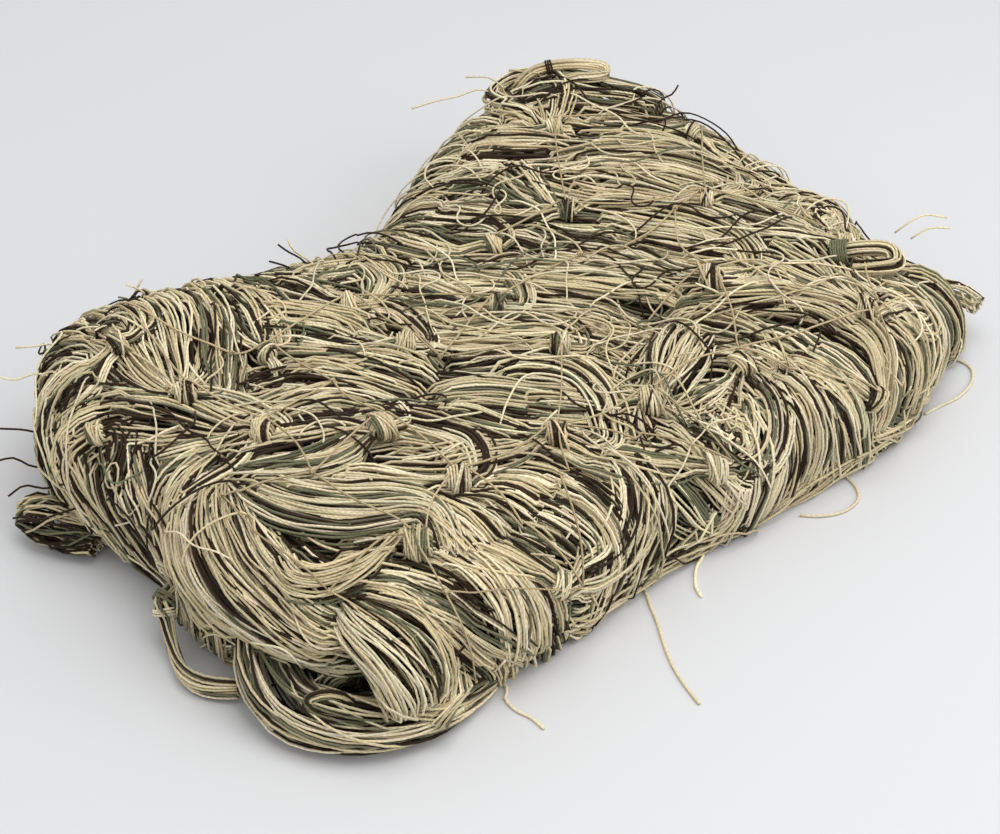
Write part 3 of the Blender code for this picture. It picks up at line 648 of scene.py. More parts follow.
# Where yarn is tied to the net: a band comes out from under the next hank and runs to the knot, and an
# arch goes on past the knot and hooks back into its other end.
ties = {
    "a1": {"at": (-128, 142), "size": 0.9, "node": "hank_02", "mix": "darker", "shift": (-17, -18),
           "bands": (
        band(26, 18, (-178, 136), (-160, 140)),
        band(20, 20, (-128, 172), (-112, 158), (-110, 146), (-120, 141)))},
    "a2": {"at": (-177, 101), "size": 0.8, "node": "drape_10", "mix": "darker", "shift": (-5, -8),
        "bands": (
        band(24, 16, (-205, 128), (-192, 116)),
        band(18, 14, (-196, 96), (-188, 84), (-176, 84), (-171, 94)))},
    "a3": {"at": (-142, 77), "size": 1.0, "node": "hank_01", "turn": -45, "bands": (
        band(52, 34, (-112, 160), (-110, 132), (-128, 100)),
        band(30, 18, (-84, 150), (-92, 122), (-112, 92), (-124, 72), (-132, 69)),
        band(26, 16, (-142, 138), (-146, 108)))},
    "a4": {"at": (-90, 77), "size": 0.78, "node": "hank_03", "bands": (
        band(40, 24, (-78, 142), (-82, 112)),
        band(24, 18, (-62, 146), (-60, 120), (-64, 92), (-76, 76)))},
    "b1": {"at": (-136, 27), "size": 1.0, "node": "hank_04", "bands": (
        band(36, 26, (-176, 116), (-162, 98), (-151, 70)),
        band(24, 16, (-172, 72), (-160, 48)),
        band(11, 14, (-152, 24), (-171, 24), (-180, 29), (-176, 37), (-160, 38), (-148, 46), out=True),
        band(18, 14, (-150, 106), (-132, 70), (-124, 44), (-122, 28), (-128, 22)))},
    "b2": {"at": (-93, -10), "size": 1.15, "node": "hank_05", "also": "hank_06", "bands": (
        band(26, 20, (-166, 30), (-146, 4), (-124, -9)),
        band(34, 24, (-166, 34), (-132, 18), (-104, 6)),
        band(22, 20, (-150, 44), (-112, 38), (-84, 28), (-73, 8), (-78, -10)))},
    "b3": {"at": (-93, -63), "size": 1.1, "node": "hank_07", "bands": (
        band(34, 20, (-142, -12), (-120, -38)),
        band(24, 22, (-104, 14), (-84, 4), (-70, -20), (-64, -42), (-74, -60)))},
    "b4": {"at": (-135, -75), "size": 1.35, "node": "hank_08", "turn": -48, "axis": (0.7, -0.7, 0.1),
           "bands": (
        band(15, 22, (-145, -71), (-161, -69), (-177, -60), (-183, -46), (-177, -28), out=True,
             mix="lighter", crown=0.006),
        band(15, 20, (-164, 24), (-167, 2), (-164, -22), (-152, -44), (-135, -59), (-123, -68),
             (-128, -79), crown=0.006, mix="darker"),
        band(16, 20, (-160, 22), (-158, -4), (-150, -28), (-137, -46), (-122, -58), (-115, -71),
             (-123, -82), crown=0.006),
        band(14, 18, (-154, 20), (-148, -6), (-137, -28), (-120, -45), (-111, -64), (-116, -80),
             (-126, -84), crown=0.004))},
    "c1": {"at": (-27, 86), "size": 0.85, "node": "hank_10", "bands": (
        band(30, 18, (-58, 128), (-40, 112)),
        band(30, 24, (-40, 126), (-12, 120), (8, 112), (6, 94), (-14, 82)))},
    "c2": {"at": (-33, 37), "size": 0.95, "node": "hank_09", "also": "hank_11", "bands": (
        band(34, 28, (-86, 90), (-64, 60)),
        band(15, 16, (-30, 96), (-12, 80), (-8, 62), (-14, 40), (-24, 32)),
        band(18, 12, (-80, 60), (-62, 42)))},
    "c3": {"at": (-30, -67), "size": 1.0, "node": "hank_13", "bands": (
        band(36, 24, (-72, -10), (-50, -38)),
        band(26, 16, (-94, -42), (-60, -58)),
        band(24, 26, (-14, 2), (8, -8), (20, -30), (16, -52), (-2, -78), (-18, -80)))},
    "d1": {"at": (70, 74), "size": 0.8, "node": "hank_15", "bands": (
        band(34, 22, (44, 134), (52, 100)),
        band(18, 16, (62, 138), (72, 112), (84, 92), (82, 76)))},
    "d2": {"at": (31, 33), "size": 0.85, "node": "hank_14", "bands": (
        band(36, 24, (0, 96), (14, 66)),
        band(15, 16, (28, 100), (46, 74), (58, 52), (52, 34), (42, 26)))},
    "d3": {"at": (28, -15), "size": 1.0, "node": "hank_12", "bands": (
        band(26, 20, (-28, 42), (0, 16)),
        band(17, 20, (-6, 44), (24, 26), (44, 6), (46, -12), (38, -22)))},
    "d4": {"at": (27, -77), "size": 1.2, "node": "hank_16", "bands": (
        band(24, 20, (-26, -28), (-4, -50)),
        band(18, 16, (-2, -96), (10, -88)))},
    "e1": {"at": (119, 67), "size": 0.85, "node": "hank_18", "bands": (
        band(32, 20, (70, 128), (88, 96)),
        band(26, 16, (132, 134), (122, 100)),
        band(6, 6, (134, 66), (144, 62), (148, 68), (138, 72), (128, 76), out=True))},
    "e2": {"at": (123, -35), "size": 1.15, "node": "hank_17", "bands": (
        band(30, 26, (88, 66), (104, 28)),
        band(30, 28, (132, 66), (152, 34), (164, 6), (162, -22), (146, -42), (134, -44)))},
    "e3": {"at": (85, -86), "size": 1.0, "node": "hank_19", "bands": (
        band(18, 14, (40, -88), (62, -90)),
        band(20, 18, (84, -30), (104, -50), (110, -76), (100, -92)))},
    "f1": {"at": (171, 127), "size": 0.8, "node": "hank_21", "bands": (
        band(30, 20, (126, 164), (146, 146)),
        band(24, 14, (196, 172), (190, 150)))},
    "f2": {"at": (235, 83), "size": 0.8, "node": "hank_22", "also": "hank_25", "bands": (
        band(32, 26, (182, 134), (206, 110)),
        band(28, 22, (244, 58), (246, 30), (240, 6), out=True))},
    "f3": {"at": (177, 17), "size": 0.75, "node": "hank_20", "bands": (
        band(36, 26, (134, 92), (156, 56)),
        band(24, 20, (176, 112), (202, 84), (224, 58), (224, 34), (206, 16)))},
    "f4": {"at": (201, -59), "size": 1.0, "node": "hank_23", "shift": (-6, -1), "bands": (
        band(36, 26, (178, 26), (188, -16)),
        band(22, 16, (206, 24), (226, -4), (232, -36), (218, -60)))},
    "f5": {"at": (167, -102), "size": 0.95, "node": "hank_24", "bands": (
        band(36, 26, (150, -20), (158, -58)),
        band(28, 18, (182, -18), (184, -56)),
        band(10, 14, (186, -104), (202, -106), (208, -112), (198, -117), (182, -114), (170, -108),
             out=True))},
    "g1": {"at": (-78, -124), "size": 0.9, "node": "drape_01", "shift": (-9, 4), "bands": (
        band(34, 26, (-116, -48), (-106, -90)),
        band(30, 22, (0, -84), (-10, -112), (-40, -132)))},
    "g2": {"at": (36, -116), "size": 1.1, "node": "drape_05", "shift": (-8, 1), "bands": (
        band(32, 26, (-34, -58), (-14, -92)),
        band(30, 20, (16, -78), (30, -98)),
        band(26, 22, (58, -70), (84, -88), (88, -110), (66, -124)))},
    "g3": {"at": (141, -138), "size": 1.0, "node": "drape_07", "shift": (-9, 6), "bands": (
        band(34, 26, (104, -70), (118, -104)),
        band(24, 18, (138, -66), (158, -98), (164, -122), (154, -138)))},
}
tieShift = (-4, -4)

# Bands without a knot: over the edges, and loose on the top.
flows = {
    "left_corner": {"node": "drape_12", "mix": "darker", "bands": (
        band(22, 24, (-172, 30), (-191, 22), (-206, 4), (-216, -20), (-222, -44)),
        band(20, 30, (-171, 26), (-191, 11), (-206, -12), (-210, -43), (-203, -74), (-192, -92), end=0.6),
        band(18, 28, (-169, 24), (-191, -5), (-199, -31), (-200, -54), (-197, -76), (-186, -92), end=0.6),
        band(18, 28, (-167, 22), (-184, -8), (-191, -32), (-192, -54), (-190, -74), (-180, -88), end=0.6),
        band(13, 20, (-165, 20), (-179, -9), (-187, -32), (-189, -50), (-187, -68), (-180, -84),
             end=0.6))},
    "left_end": {"node": "drape_11", "mix": "darker", "bands": (
        band(26, 24, (-178, 84), (-193, 52), (-205, 26), (-226, 20), end=0.5),
        band(22, 18, (-182, 92), (-202, 74), (-222, 58), (-240, 40)))},
    "left_back": {"node": "drape_14", "mix": "darker", "bands": (
        band(24, 20, (-168, 128), (-188, 118), (-203, 96), (-226, 66)),
        band(36, 26, (-150, 140), (-150, 164), (-152, 190), (-156, 214)))},
    "front_corner": {"node": "drape_02", "mix": "darker", "bands": (
        band(30, 28, (-178, -68), (-158, -100), (-132, -150), start=0.2),
        band(26, 24, (-174, -70), (-138, -104), (-102, -150), start=0.25))},
    "front_a": {"node": "drape_03", "bands": (
        band(22, 26, (-140, -84), (-123, -96), (-118, -112), (-121, -130), (-124, -152), crown=0.005),
        band(22, 24, (-130, -84), (-113, -100), (-106, -118), (-104, -140), (-102, -158)),
        band(24, 22, (-126, -84), (-104, -102), (-92, -126), (-90, -156)))},
    "front_b": {"node": "drape_04", "bands": (
        band(30, 24, (-60, -84), (-44, -110), (-44, -134), (-52, -158)),
        band(26, 20, (-20, -84), (-12, -110), (-20, -136), (-34, -158)))},
    "front_c": {"node": "drape_06", "bands": (
        band(30, 24, (90, -92), (98, -116), (92, -138), (78, -160)),
        band(26, 20, (70, -98), (62, -124), (46, -146), (30, -158)))},
    "front_d": {"node": "drape_08", "bands": (
        band(34, 28, (188, -84), (204, -106), (206, -134), (196, -160)),
        band(30, 22, (170, -96), (180, -124), (176, -150), (164, -166)))},
    "front_e": {"node": "drape_09", "bands": (
        band(30, 24, (212, -72), (234, -92), (244, -118), (236, -146)),)},
    "front_foot": {"node": "drape_06", "bands": (
        band(14, 16, (-84, -146), (-40, -150), (10, -150), (50, -154)),
        band(16, 18, (30, -156), (80, -160), (130, -162), (170, -168)),
        band(16, 16, (120, -150), (160, -162), (200, -160), (236, -146)))},
    "right_end": {"node": "drape_13", "bands": (
        band(34, 24, (234, 40), (256, 34), (276, 26), (292, 20)),
        band(30, 20, (236, -20), (256, -30), (274, -46), (288, -60)))},
    "back_a": {"node": "drape_15", "bands": (
        band(36, 24, (28, 98), (34, 122), (38, 148), (36, 176)),)},
    "back_b": {"node": "drape_16", "bands": (
        band(40, 26, (150, 140), (146, 166), (142, 194), (146, 220)),)},
    "top_a": {"node": "hank_26", "bands": (
        band(36, 28, (48, 62), (72, 30), (100, -14), (112, -36)),)},
    "top_b": {"node": "hank_27", "bands": (
        band(34, 24, (-60, -2), (-34, -18), (-10, -46), (8, -66)),)},
    "top_c": {"node": "hank_28", "bands": (
        band(34, 26, (138, 110), (170, 88), (204, 48), (220, 14)),)},
    "top_d": {"node": "hank_29", "bands": (
        band(32, 24, (120, 26), (134, -4), (150, -40), (164, -62)),)},
    "light_hank": {"node": "hank_16", "shift": (-4, -4), "bands": (
        band(34, 34, (30, -77), (48, -70), (66, -62), (84, -54), (96, -48), out=True, mix="lighter",
             crown=0.009, lift=0.002),)},
    "fill_a": {"node": "hank_10", "bands": (
        band(46, 34, (-88, 116), (-64, 92), (-44, 66), (-32, 44), crown=0.006),
        band(44, 32, (-98, 70), (-78, 46), (-60, 22), (-44, 0), crown=0.006),
        band(34, 22, (-64, 58), (-44, 34), (-26, 8), crown=0.006))},
    "fill_b": {"node": "hank_21", "bands": (
        band(36, 28, (118, 156), (136, 140), (156, 120), (172, 102), crown=0.006),)},
    "fill_d": {"node": "hank_17", "bands": (
        band(40, 30, (96, -22), (118, -42), (136, -58), (158, -78), crown=0.005),)},
    "fill_e": {"node": "hank_02", "bands": (
        band(42, 42, (-122, 164), (-119, 142), (-118, 120), (-124, 98), crown=0.004),)},
    "fill_c": {"node": "drape_07", "bands": (
        band(36, 30, (108, -82), (118, -106), (126, -130), (124, -158)),)},
    "lump": {"node": "lump_01", "bands": (
        band(46, 60, (160, 168), (178, 160), (206, 142), (232, 118), (244, 100), crown=0.013, layers=3),
        band(24, 20, (150, 156), (160, 148), (166, 138), (171, 127), crown=0.007),
        band(15, 26, (171, 127), (165, 143), (165, 158), (174, 168), (186, 166), (193, 152), (187, 137),
             (172, 128), crown=0.007, lift=0.002))},
}


def fullPath(spec, band):
    if "at" not in spec:
        return band["path"]
    return (spec["at"], *band["path"]) if band.get("out") else (*band["path"], spec["at"])


def bandDirections():  # which way the bands run over the unfolded surface, as doubled angles
    grid = np.zeros((*pack.size, 2))
    for spec in (*ties.values(), *flows.values()):
        shift = np.array(spec.get("shift", tieShift)) if "at" in spec else np.zeros(2)
        for band in spec["bands"]:
            line = smoothLine((np.array(fullPath(spec, band)) + shift) * 0.001, 0.002)
            along = unit(np.gradient(line, axis=0))
            double = np.stack([along[:, 0]**2 - along[:, 1]**2, 2 * along[:, 0] * along[:, 1]], 1)
            np.add.at(grid, pile.cells(line), double * band["width"] / 30)
    return np.stack([blurGrid(grid[..., k], 5, 3) for k in (0, 1)], -1) * 22


# Packed yarn under what shows. The rounds give bundles, the yarns in each, and their length and width.
inner = {
    "rounds": (
        {"bundles": 135, "count": 14, "length": (0.080, 0.130), "width": (0.028, 0.042), "airy": 0.4},
        {"bundles": 270, "count": 8, "length": (0.050, 0.100), "width": (0.010, 0.018), "airy": 0.5},
        {"bundles": 110, "count": 14, "length": (0.070, 0.130), "width": (0.020, 0.036), "airy": 0.8},
    ),
    "limit": 0.0377 + 0.040,               # furthest start on the unfolded sides
    "end": 0.0377 + 0.045 + 0.022,         # rounded edge, wall and foot of a side
    "lay": {"dive": (0.002, 0.002), "wander": 0.0012, "stations": 0.0055, "stray": 0.12, "turn": 0.16},
}
field = {"waves": rng.uniform(-1, 1, (10, 2)) * 42, "phase": rng.uniform(0, 6.3, 10), "turn": 0.62}
directions = bandDirections()


def drift(p):  # slow change of direction over the surface, about -1 to 1
    return np.sin(p @ field["waves"].T + field["phase"]).sum(-1) / 2.6


def flow(p, sideTurn):  # direction in which packed yarn runs at a place
    way = wayAt(-math.pi / 4 + drift(p) * field["turn"])
    beyond = float(pack.at(pack.beyond, p))
    if beyond > 0:
        out = pack.at(pack.aside, p)
        c, s = wayAt(drift(p * 1.7) * 0.55 + sideTurn)
        down = np.array([out[0] * c - out[1] * s, out[0] * s + out[1] * c])
        share = float(easeIn(beyond / 0.022))
        way = unit(way * (1 if down @ way > 0 else -1) * (1 - share) + down * share)
    double = np.array([way[0]**2 - way[1]**2, 2 * way[0] * way[1]]) * 0.4 + pack.at(directions, p)
    return wayAt(math.atan2(double[1], double[0]) / 2 + drift(p * 2.3) * 0.10)


def follow(seed, length, sideTurn, step=0.004):
    both = []
    for sign in (-1, 1):
        p, last, line = seed.copy(), None, []
        for _ in range(int(length / 2 / step)):
            way = flow(p, sideTurn)
            if last is None:
                way = way * sign
            elif way @ last < 0:
                way = -way
            p, last = p + way * step, way
            line.append(p.copy())
            if pack.at(pack.beyond, p) > inner["end"]:
                break
        both.append(line)
    return np.array(both[0][::-1] + [seed] + both[1])


def sideName(p):
    way = pack.at(pack.aside, p)
    if abs(way[1]) > abs(way[0]):
        return "front" if way[1] < 0 else "back"
    return "left" if way[0] < 0 else "right"


def areaName(p):
    if float(pack.at(pack.beyond, p)) >= 0.012:
        return "inner_yarn_" + sideName(p)
    return "inner_yarn_top_" + ("left" if p[0] < -0.03 else "right" if p[0] > 0.11 else "middle")


def packInner(spec):
    grid = np.argwhere(pack.beyond < spec["limit"])
    for kind in spec["rounds"]:
        for index in rng.choice(len(grid), kind["bundles"], replace=False):
            seed = pack.low + (grid[index] + rng.uniform(-0.5, 0.5, 2)) * pack.spec["cell"]
            line = follow(seed, rng.uniform(*kind["length"]), rng.normal() * 0.35)
            if len(line) < 5:
                continue
            line = smoothLine(line[::3] if len(line) > 8 else line, 0.002)
            strands = Strands(kind["count"], airy=kind["airy"])
            belly = np.sin(math.pi * np.linspace(0, 1, len(line)))
            width = rng.uniform(*kind["width"]) * (0.75 + 0.25 * belly)
            zero = np.zeros(len(line))
            layBundle(areaName(seed), line, strands, width, zero, zero + 0.001, **spec["lay"])


packInner(inner)
print("packed yarn laid", {k: len(v) for k, v in parts.items()}, "pile", pile.grid.mean(), pile.grid.max())

# Yarn that hangs over the sides.
skirt = {
    "apart": 0.024, "count": 22, "width": (0.024, 0.036), "inside": 0.010, "step": 0.007,
    "bare": (-0.155, -0.060), "bareReach": 0.090,  # a corner that its own hanks cover
    "lay": {"dive": (0.002, 0.001), "wander": 0.0012, "stations": 0.0052, "stray": 0.10, "turn": 0.16},
}


def skirtName(p):
    side = sideName(p)
    if side == "back":
        return "inner_yarn_back"
    return "side_yarn_" + (side if side != "front" else "front_left" if p[0] < -0.02 else "front_right")


def hangSkirt(spec):
    ring = pack.ring
    run = np.r_[0, np.cumsum(np.linalg.norm(np.roll(ring, -1, 0) - ring, axis=1))]
    count = int(run[-1] / spec["apart"])
    for k in rng.permutation(count):
        at = (k + rng.uniform(-0.4, 0.4)) / count * run[-1] % run[-1]
        i = min(int(np.searchsorted(run, at)), len(ring) - 1)
        if np.linalg.norm(ring[i] - np.array(spec["bare"])) < spec["bareReach"]:
            continue
        edge = ring[i] - ring[(i - 6) % len(ring)]
        out = unit(np.array([edge[1], -edge[0]]))
        end = inner["end"] - rng.uniform(0.002, 0.02)
        points = [ring[i] - out * rng.uniform(0.2, 1.0) * spec["inside"]]
        for _ in range(int((end + 0.016) / spec["step"])):
            way = flow(points[-1], rng.normal() * 0.1)
            way = way * (1 if way @ out > 0 else -1)
            points.append(points[-1] + unit(way + out * 0.45) * spec["step"])
            if pack.at(pack.beyond, points[-1]) > end:
                break
        line = smoothLine(points, 0.002)
        belly = np.sin(math.pi * np.linspace(0, 1, len(line)))
        width = rng.uniform(*spec["width"]) * (0.7 + 0.3 * belly)
        zero = np.zeros(len(line))
        name = skirtName(points[len(points) // 2])
        # the left side takes the darker mix: partly more dark yarn, partly painted shade
        strands = Strands(spec["count"], "darker" if "left" in name else "plain")
        layBundle(name, line, strands, width, zero, zero + 0.0025, **spec["lay"])


hangSkirt(skirt)
print("side yarn laid", pile.grid.max())

tied = {
    "more": 1.15,               # yarns in a band, for each one counted in its table
    "ends": (0.85, 0.8),        # width at the start and end of a band, as a share
    "crown": (0.0030, 0.030),   # height of a band's middle, at this width
    "narrow": 0.0085,           # width of a band at its knot
    "neck": (0.042, 0.55),      # where it starts to draw in: distance, or share of its length
    "grip": (0.003, 0.013),     # where it is pulled tight
    "seat": 0.004,              # from a band's end to the knot's middle
    "radius": 0.0052, "turns": 7, "apart": 1.95,  # of the knot; turns are apart by this many yarn radii
    "endTurns": (5, 7, 9, 11, 13), "outerTurns": (7, 9),  # the yarns that they take
    "aside": (0.7, -0.7, 0.0),  # knots are turned towards this
}


def bandShape(band, line, fromKnot, toKnot):  # width, tightness and crown along a band
    length = np.linalg.norm(line[1] - line[0]) * (len(line) - 1)
    s = np.linspace(0, length, len(line))
    share = s / length
    ends = band.get("start", tied["ends"][0]), band.get("end", tied["ends"][1])
    wide = np.interp(share, (0, 0.35, 0.65, 1), (ends[0], 1.0, 0.95, ends[1])) * band["width"] * 0.001
    reach = min(tied["neck"][0], tied["neck"][1] * length)
    width, tight = wide, np.zeros(len(line))
    for knotted, run in ((toKnot, length - s), (fromKnot, s)):
        if knotted:
            neck = tied["narrow"] + (wide - tied["narrow"]) * np.clip(run / reach, 0, 1) ** 0.85
            width = np.minimum(width, neck)
            tight = np.maximum(tight, easeIn(1 - (run - tied["grip"][0]) / tied["grip"][1]))
    if "crown" in band:
        return width, tight, band["crown"] * np.sin(math.pi * np.clip(share, 0, 1)) ** 0.6
    high, usual = tied["crown"]
    return width, tight, high * np.clip(width / usual, 0.2, 1.2) * (1 - tight)


def layBand(spec, band, path, dive, stations, turn, toKnot=False, base=None):
    line = smoothLine(path)
    width, tight, crown = bandShape(band, line, band.get("out"), toKnot)
    strands = Strands(int(band["count"] * tied["more"]), band.get("mix", spec.get("mix", "plain")))
    if "layers" in band:
        strands.layer = rng.integers(0, band["layers"], strands.count)
    layBundle(spec["node"] + "_yarn", line, strands, width, tight, crown, dive, stations, turn, base,
              lift=band.get("lift", 0.0))


def layFlow(spec):
    for band in spec["bands"]:
        path = (np.array(band["path"]) + np.array(spec.get("shift", (0, 0)))) * 0.001
        layBand(spec, band, path, (0.002, 0.0015), 0.0052, 0.14)


def knotTurn(centre, along, up, radius, offset, tilt, squash=0.92, stations=18):  # one turn round a knot
    side = np.cross(along, up)
    turn = np.linspace(0, fullTurn, stations, endpoint=False)
    out = side * (radius * np.cos(turn))[:, None] + up * (radius * squash * np.sin(turn))[:, None]
    lean = along * (offset + tilt * radius * np.cos(turn + 0.6))[:, None]
    return centre + out + lean, unit(out)


def keepRings(piece, rings, tones, **more):
    points, ups = zip(*rings)
    keep(piece, np.array(points), np.array(ups), tones, closed=True, **more)


def layKnot(spec, at, way, base, tones):
    size, thick = spec["size"], yarn["radius"]
    radius = tied["radius"] * size
    over = float(pile.bed(np.array([at]), 1, False)[0])
    height = base + radius * 1.05 + min(max(over - base - radius * 2, 0) * 0.8 + 0.0014, 0.0065)
    centre, up = pack.wrap(np.array([at]), np.array([height]))
    ahead, _ = pack.wrap(np.array([at + way * 0.003]), np.array([height]))
    centre, up = centre[0], up[0]
    along, aside = unit(ahead[0] - centre), np.array(tied["aside"])
    along = unit(along + aside * (0.7 if along @ aside >= 0 else -0.7))
    if "axis" in spec:
        along = unit(np.array(spec["axis"]))
    up = unit(up - along * (up @ along))
    turns = int(round(tied["turns"] * size))
    lean = rng.normal() * 0.10 + 0.14
    half = (turns - 1) / 2 * (thick * tied["apart"])
    far = half + thick * 1.6
    rings = []
    for i in range(turns):
        u = 2 * i / (turns - 1) - 1
        wide = (radius + thick) * (1.12 * math.sqrt(1 - 0.42 * u * u) + rng.normal() * 0.02)
        rings.append(knotTurn(centre, along, up, wide, half * u, lean + rng.normal() * 0.05))
    for i in range(len(tied["endTurns"])):  # round the length of the knot, to close its two ends
        u = i / 2 - 1
        rings.append(knotTurn(centre, np.cross(along, up), up, far, u * radius * 0.62, rng.normal() * 0.08,
                              radius * (0.88 - 0.12 * abs(u)) / far))
    for _ in tied["outerTurns"]:  # across the others
        rings.append(knotTurn(centre, along, up, (radius + thick * 2.4) * 1.06, rng.normal() * 0.0018,
                              lean + rng.choice((-1, 1)) * rng.uniform(0.25, 0.5)))
    picks = [*(i // 2 * 3 for i in range(turns)), *tied["endTurns"], *tied["outerTurns"]]
    keepRings(spec["node"] + "_yarn", rings, tones[np.array(picks) % len(tones)])
    spread = np.linspace(-1, 1, 7) * radius
    grid = at + way * spread[:, None, None] + np.array([-way[1], way[0]]) * spread[None, :, None]
    pile.stamp(grid, np.full(grid.shape[:2], height + radius * 0.8))


knots = []


def tie(spec):
    shift = np.array(spec.get("shift", tieShift))
    at = (np.array(spec["at"]) + shift) * 0.001
    base = float(pile.bed(at[None] + np.zeros((1, 2)))[0])
    if "turn" in spec:
        way = wayAt(math.radians(spec["turn"]))
    else:
        first = mm((spec["bands"][0]["path"][-1], spec["at"]))
        way = unit(first[1] - first[0])
    bands = spec["bands"]
    ahead = [np.array(band["path"]) + shift - at * 1000 for band in bands]
    if not any(((rows @ way > 3) & (np.linalg.norm(rows, axis=1) < 30)).any() for rows in ahead):
        plug = [tuple(at * 1000 - shift + way * far) for far in (9, 22)]  # fills the knot's empty side
        bands = bands + (band(15, 14, *plug, out=True, mix="lighter"),)
    for one in bands:
        out = one.get("out", False)
        path = (np.array(fullPath(spec, one)) + shift) * 0.001
        if out:
            path[0] = at + way * tied["seat"] * (1 if (path[1] - at) @ way > 0 else -1) * spec["size"]
        else:
            end = 1 if len(path) > 3 and (path[-2] - at) @ way > 0 else -1
            path[-1] = at + way * tied["seat"] * end * spec["size"]
        layBand(spec, one, path, (0, 0.004) if out else (0.004, 0), 0.0048, 0.12, not out, base)
    knots.append((spec, at, way, base, Strands(16, "lighter").tones))


flowOrder = (
    "back_a", "back_b", "right_end", "front_foot", "front_e", "front_d", "front_c", "front_b", "front_a",
    "front_corner", "left_back", "left_corner", "left_end", "top_d", "top_c", "top_a", "top_b",
    "fill_a", "fill_b", "fill_c", "fill_d", "fill_e", "lump",
)
for name in flowOrder:
    layFlow(flows[name])
for spec in sorted(ties.values(), key=lambda spec: 1.5 * spec["at"][1] - 0.5 * spec["at"][0]):
    tie(spec)  # hanks further up and to the left lie over the starts of the others
layFlow(flows["light_hank"])
for knot in knots:
    layKnot(*knot)
print("hanks tied", pile.grid.max())

# Skeins that stand clear of the pack. Rows in mm: x, y, z, half width, half height.
skeins = {
    "foot_roll": {"count": 96, "twist": -0.25, "wave": 0.0021, "stray": 0.3, "mix": "darker", "rows": (
        (-197, -36, 34, 9, 8), (-205, -46, 28, 13, 11), (-210, -60, 20, 15, 12), (-211, -78, 14.5, 14, 13),
        (-199, -101, 13.5, 13.5, 12.5), (-175, -115, 11, 12, 10.5), (-148, -120, 8, 8, 7.5),
        (-126, -119, 6, 4, 4))},
    "left_hank": {"count": 64, "twist": 0.35, "wave": 0.0012, "stray": 0.25, "mix": "darker", "rows": (
        (-199, 88, 13, 7, 9), (-203.5, 103, 13.5, 10.5, 12), (-206, 114, 13.5, 12, 12.5),
        (-209.5, 124, 13.5, 11, 11.5), (-212.5, 131, 13, 6.5, 7))},
    "loop_band": {"count": 22, "twist": 0.3, "wave": 0.0007, "stray": 0, "rows": (
        (-200.5, 18, 27.5, 5, 5), (-213, 17, 24.5, 4.5, 6), (-215.5, 13, 16, 3.2, 5),
        (-221, 3, 8.4, 2.4, 6.4), (-227, -10, 7.6, 2.2, 6.6), (-228, -22, 7.6, 2.2, 6.6),
        (-224.5, -31, 7.8, 2.3, 6), (-217, -41, 8.4, 2.4, 5)),
                  "order": ("beige", "dark", "pale", "olive", "beige", "pale", "dark", "beige", "beige")},
    "drape_02": {"count": 130, "twist": 0.1, "wave": 0.0012, "stray": 0.08, "rows": (
        (-174, -62, 53, 4, 4), (-174, -75, 57, 12, 8), (-173, -90, 55, 21, 12), (-169, -103, 48, 27, 14),
        (-166, -112, 37, 29, 13), (-165, -116, 25, 26, 10), (-166, -114, 14, 20, 7))},
    "tip_hank": {"count": 26, "twist": 0.4, "wave": 0.0008, "stray": 0.1, "rows": (
        (254, -84, 27, 5, 5), (260, -100, 28, 6, 6.5), (259.8, -112, 26.5, 5, 5.6))},
}


def laySkein(name, spec):
    line = smoothLine(mm(spec["rows"]))
    line = line[thinOut(line[:, :3], 0.006)]
    centre, wide, high = line[:, :3], line[:, 3], line[:, 4]
    along = unit(np.gradient(centre, axis=0))
    side = np.cross(along, skyward)
    side = unit(side + 0.25 * np.linalg.norm(side, axis=1).max() * unit(side[len(side) // 2]))
    up = unit(np.cross(side, along))
    count = spec["count"]
    shell = int(count * 0.72)  # yarns on the outside
    strands = Strands(count, spec.get("mix", "plain"))
    if "order" in spec:
        strands.tones = inOrder(spec["order"], count)
    angle = np.r_[np.linspace(0, fullTurn, shell, endpoint=False), rng.uniform(0, fullTurn, count - shell)]
    out = np.r_[np.full(shell, 0.94) + 0.05 * rng.normal(size=shell), rng.uniform(0.45, 0.8, count - shell)]
    t = np.linspace(0, 1, len(line))
    crossing = rng.random((count, 1)) < spec["stray"]
    lay = spec["twist"] + crossing * rng.normal(size=(count, 1)) * 1.1
    out = out + crossing[:, 0] * 0.07
    turn = angle[:, None] + lay * t[None] * math.pi
    turn = turn + 0.12 * np.sin(t[None] * 7 + rng.uniform(0, 6, (count, 1)))
    shift = spec["wave"] * np.sin(t[None] * 9 + rng.uniform(0, 6, (count, 1)))
    radial = side[None] * np.cos(turn)[..., None] + up[None] * np.sin(turn)[..., None]
    points = (centre[None] + side[None] * (np.cos(turn) * wide * out[:, None])[..., None]
              + up[None] * (np.sin(turn) * high * out[:, None])[..., None] + radial * shift[..., None])
    keep(name + "_yarn", offFloor(points, 1.1), unit(radial), strands.tones)


def bindSkein(name, at, along, radius, turns, shade):  # a wrap round a skein
    along = unit(np.array(along, float))
    up = unit(np.cross(np.cross(along, np.array([0.3, 0.2, 1.0])), along))
    offsets = [(i - (turns - 1) / 2) * yarn["radius"] * tied["apart"] for i in range(turns)]
    rings = [knotTurn(mm(at), along, up, radius * 0.001, offset, 0.1 + rng.normal() * 0.06, 1.0)
             for offset in offsets]
    keepRings(name + "_yarn", rings, tone(shade, turns))


for name, spec in skeins.items():
    laySkein(name, spec)
bindSkein("loop_band", (-211.5, 17, 25.5), (-0.8, -0.1, -0.5), 6.2, 4, "olive")
bindSkein("loop_band", (-214.2, 15.6, 20.5), (-0.35, -0.35, -0.85), 5.6, 3, "pale")

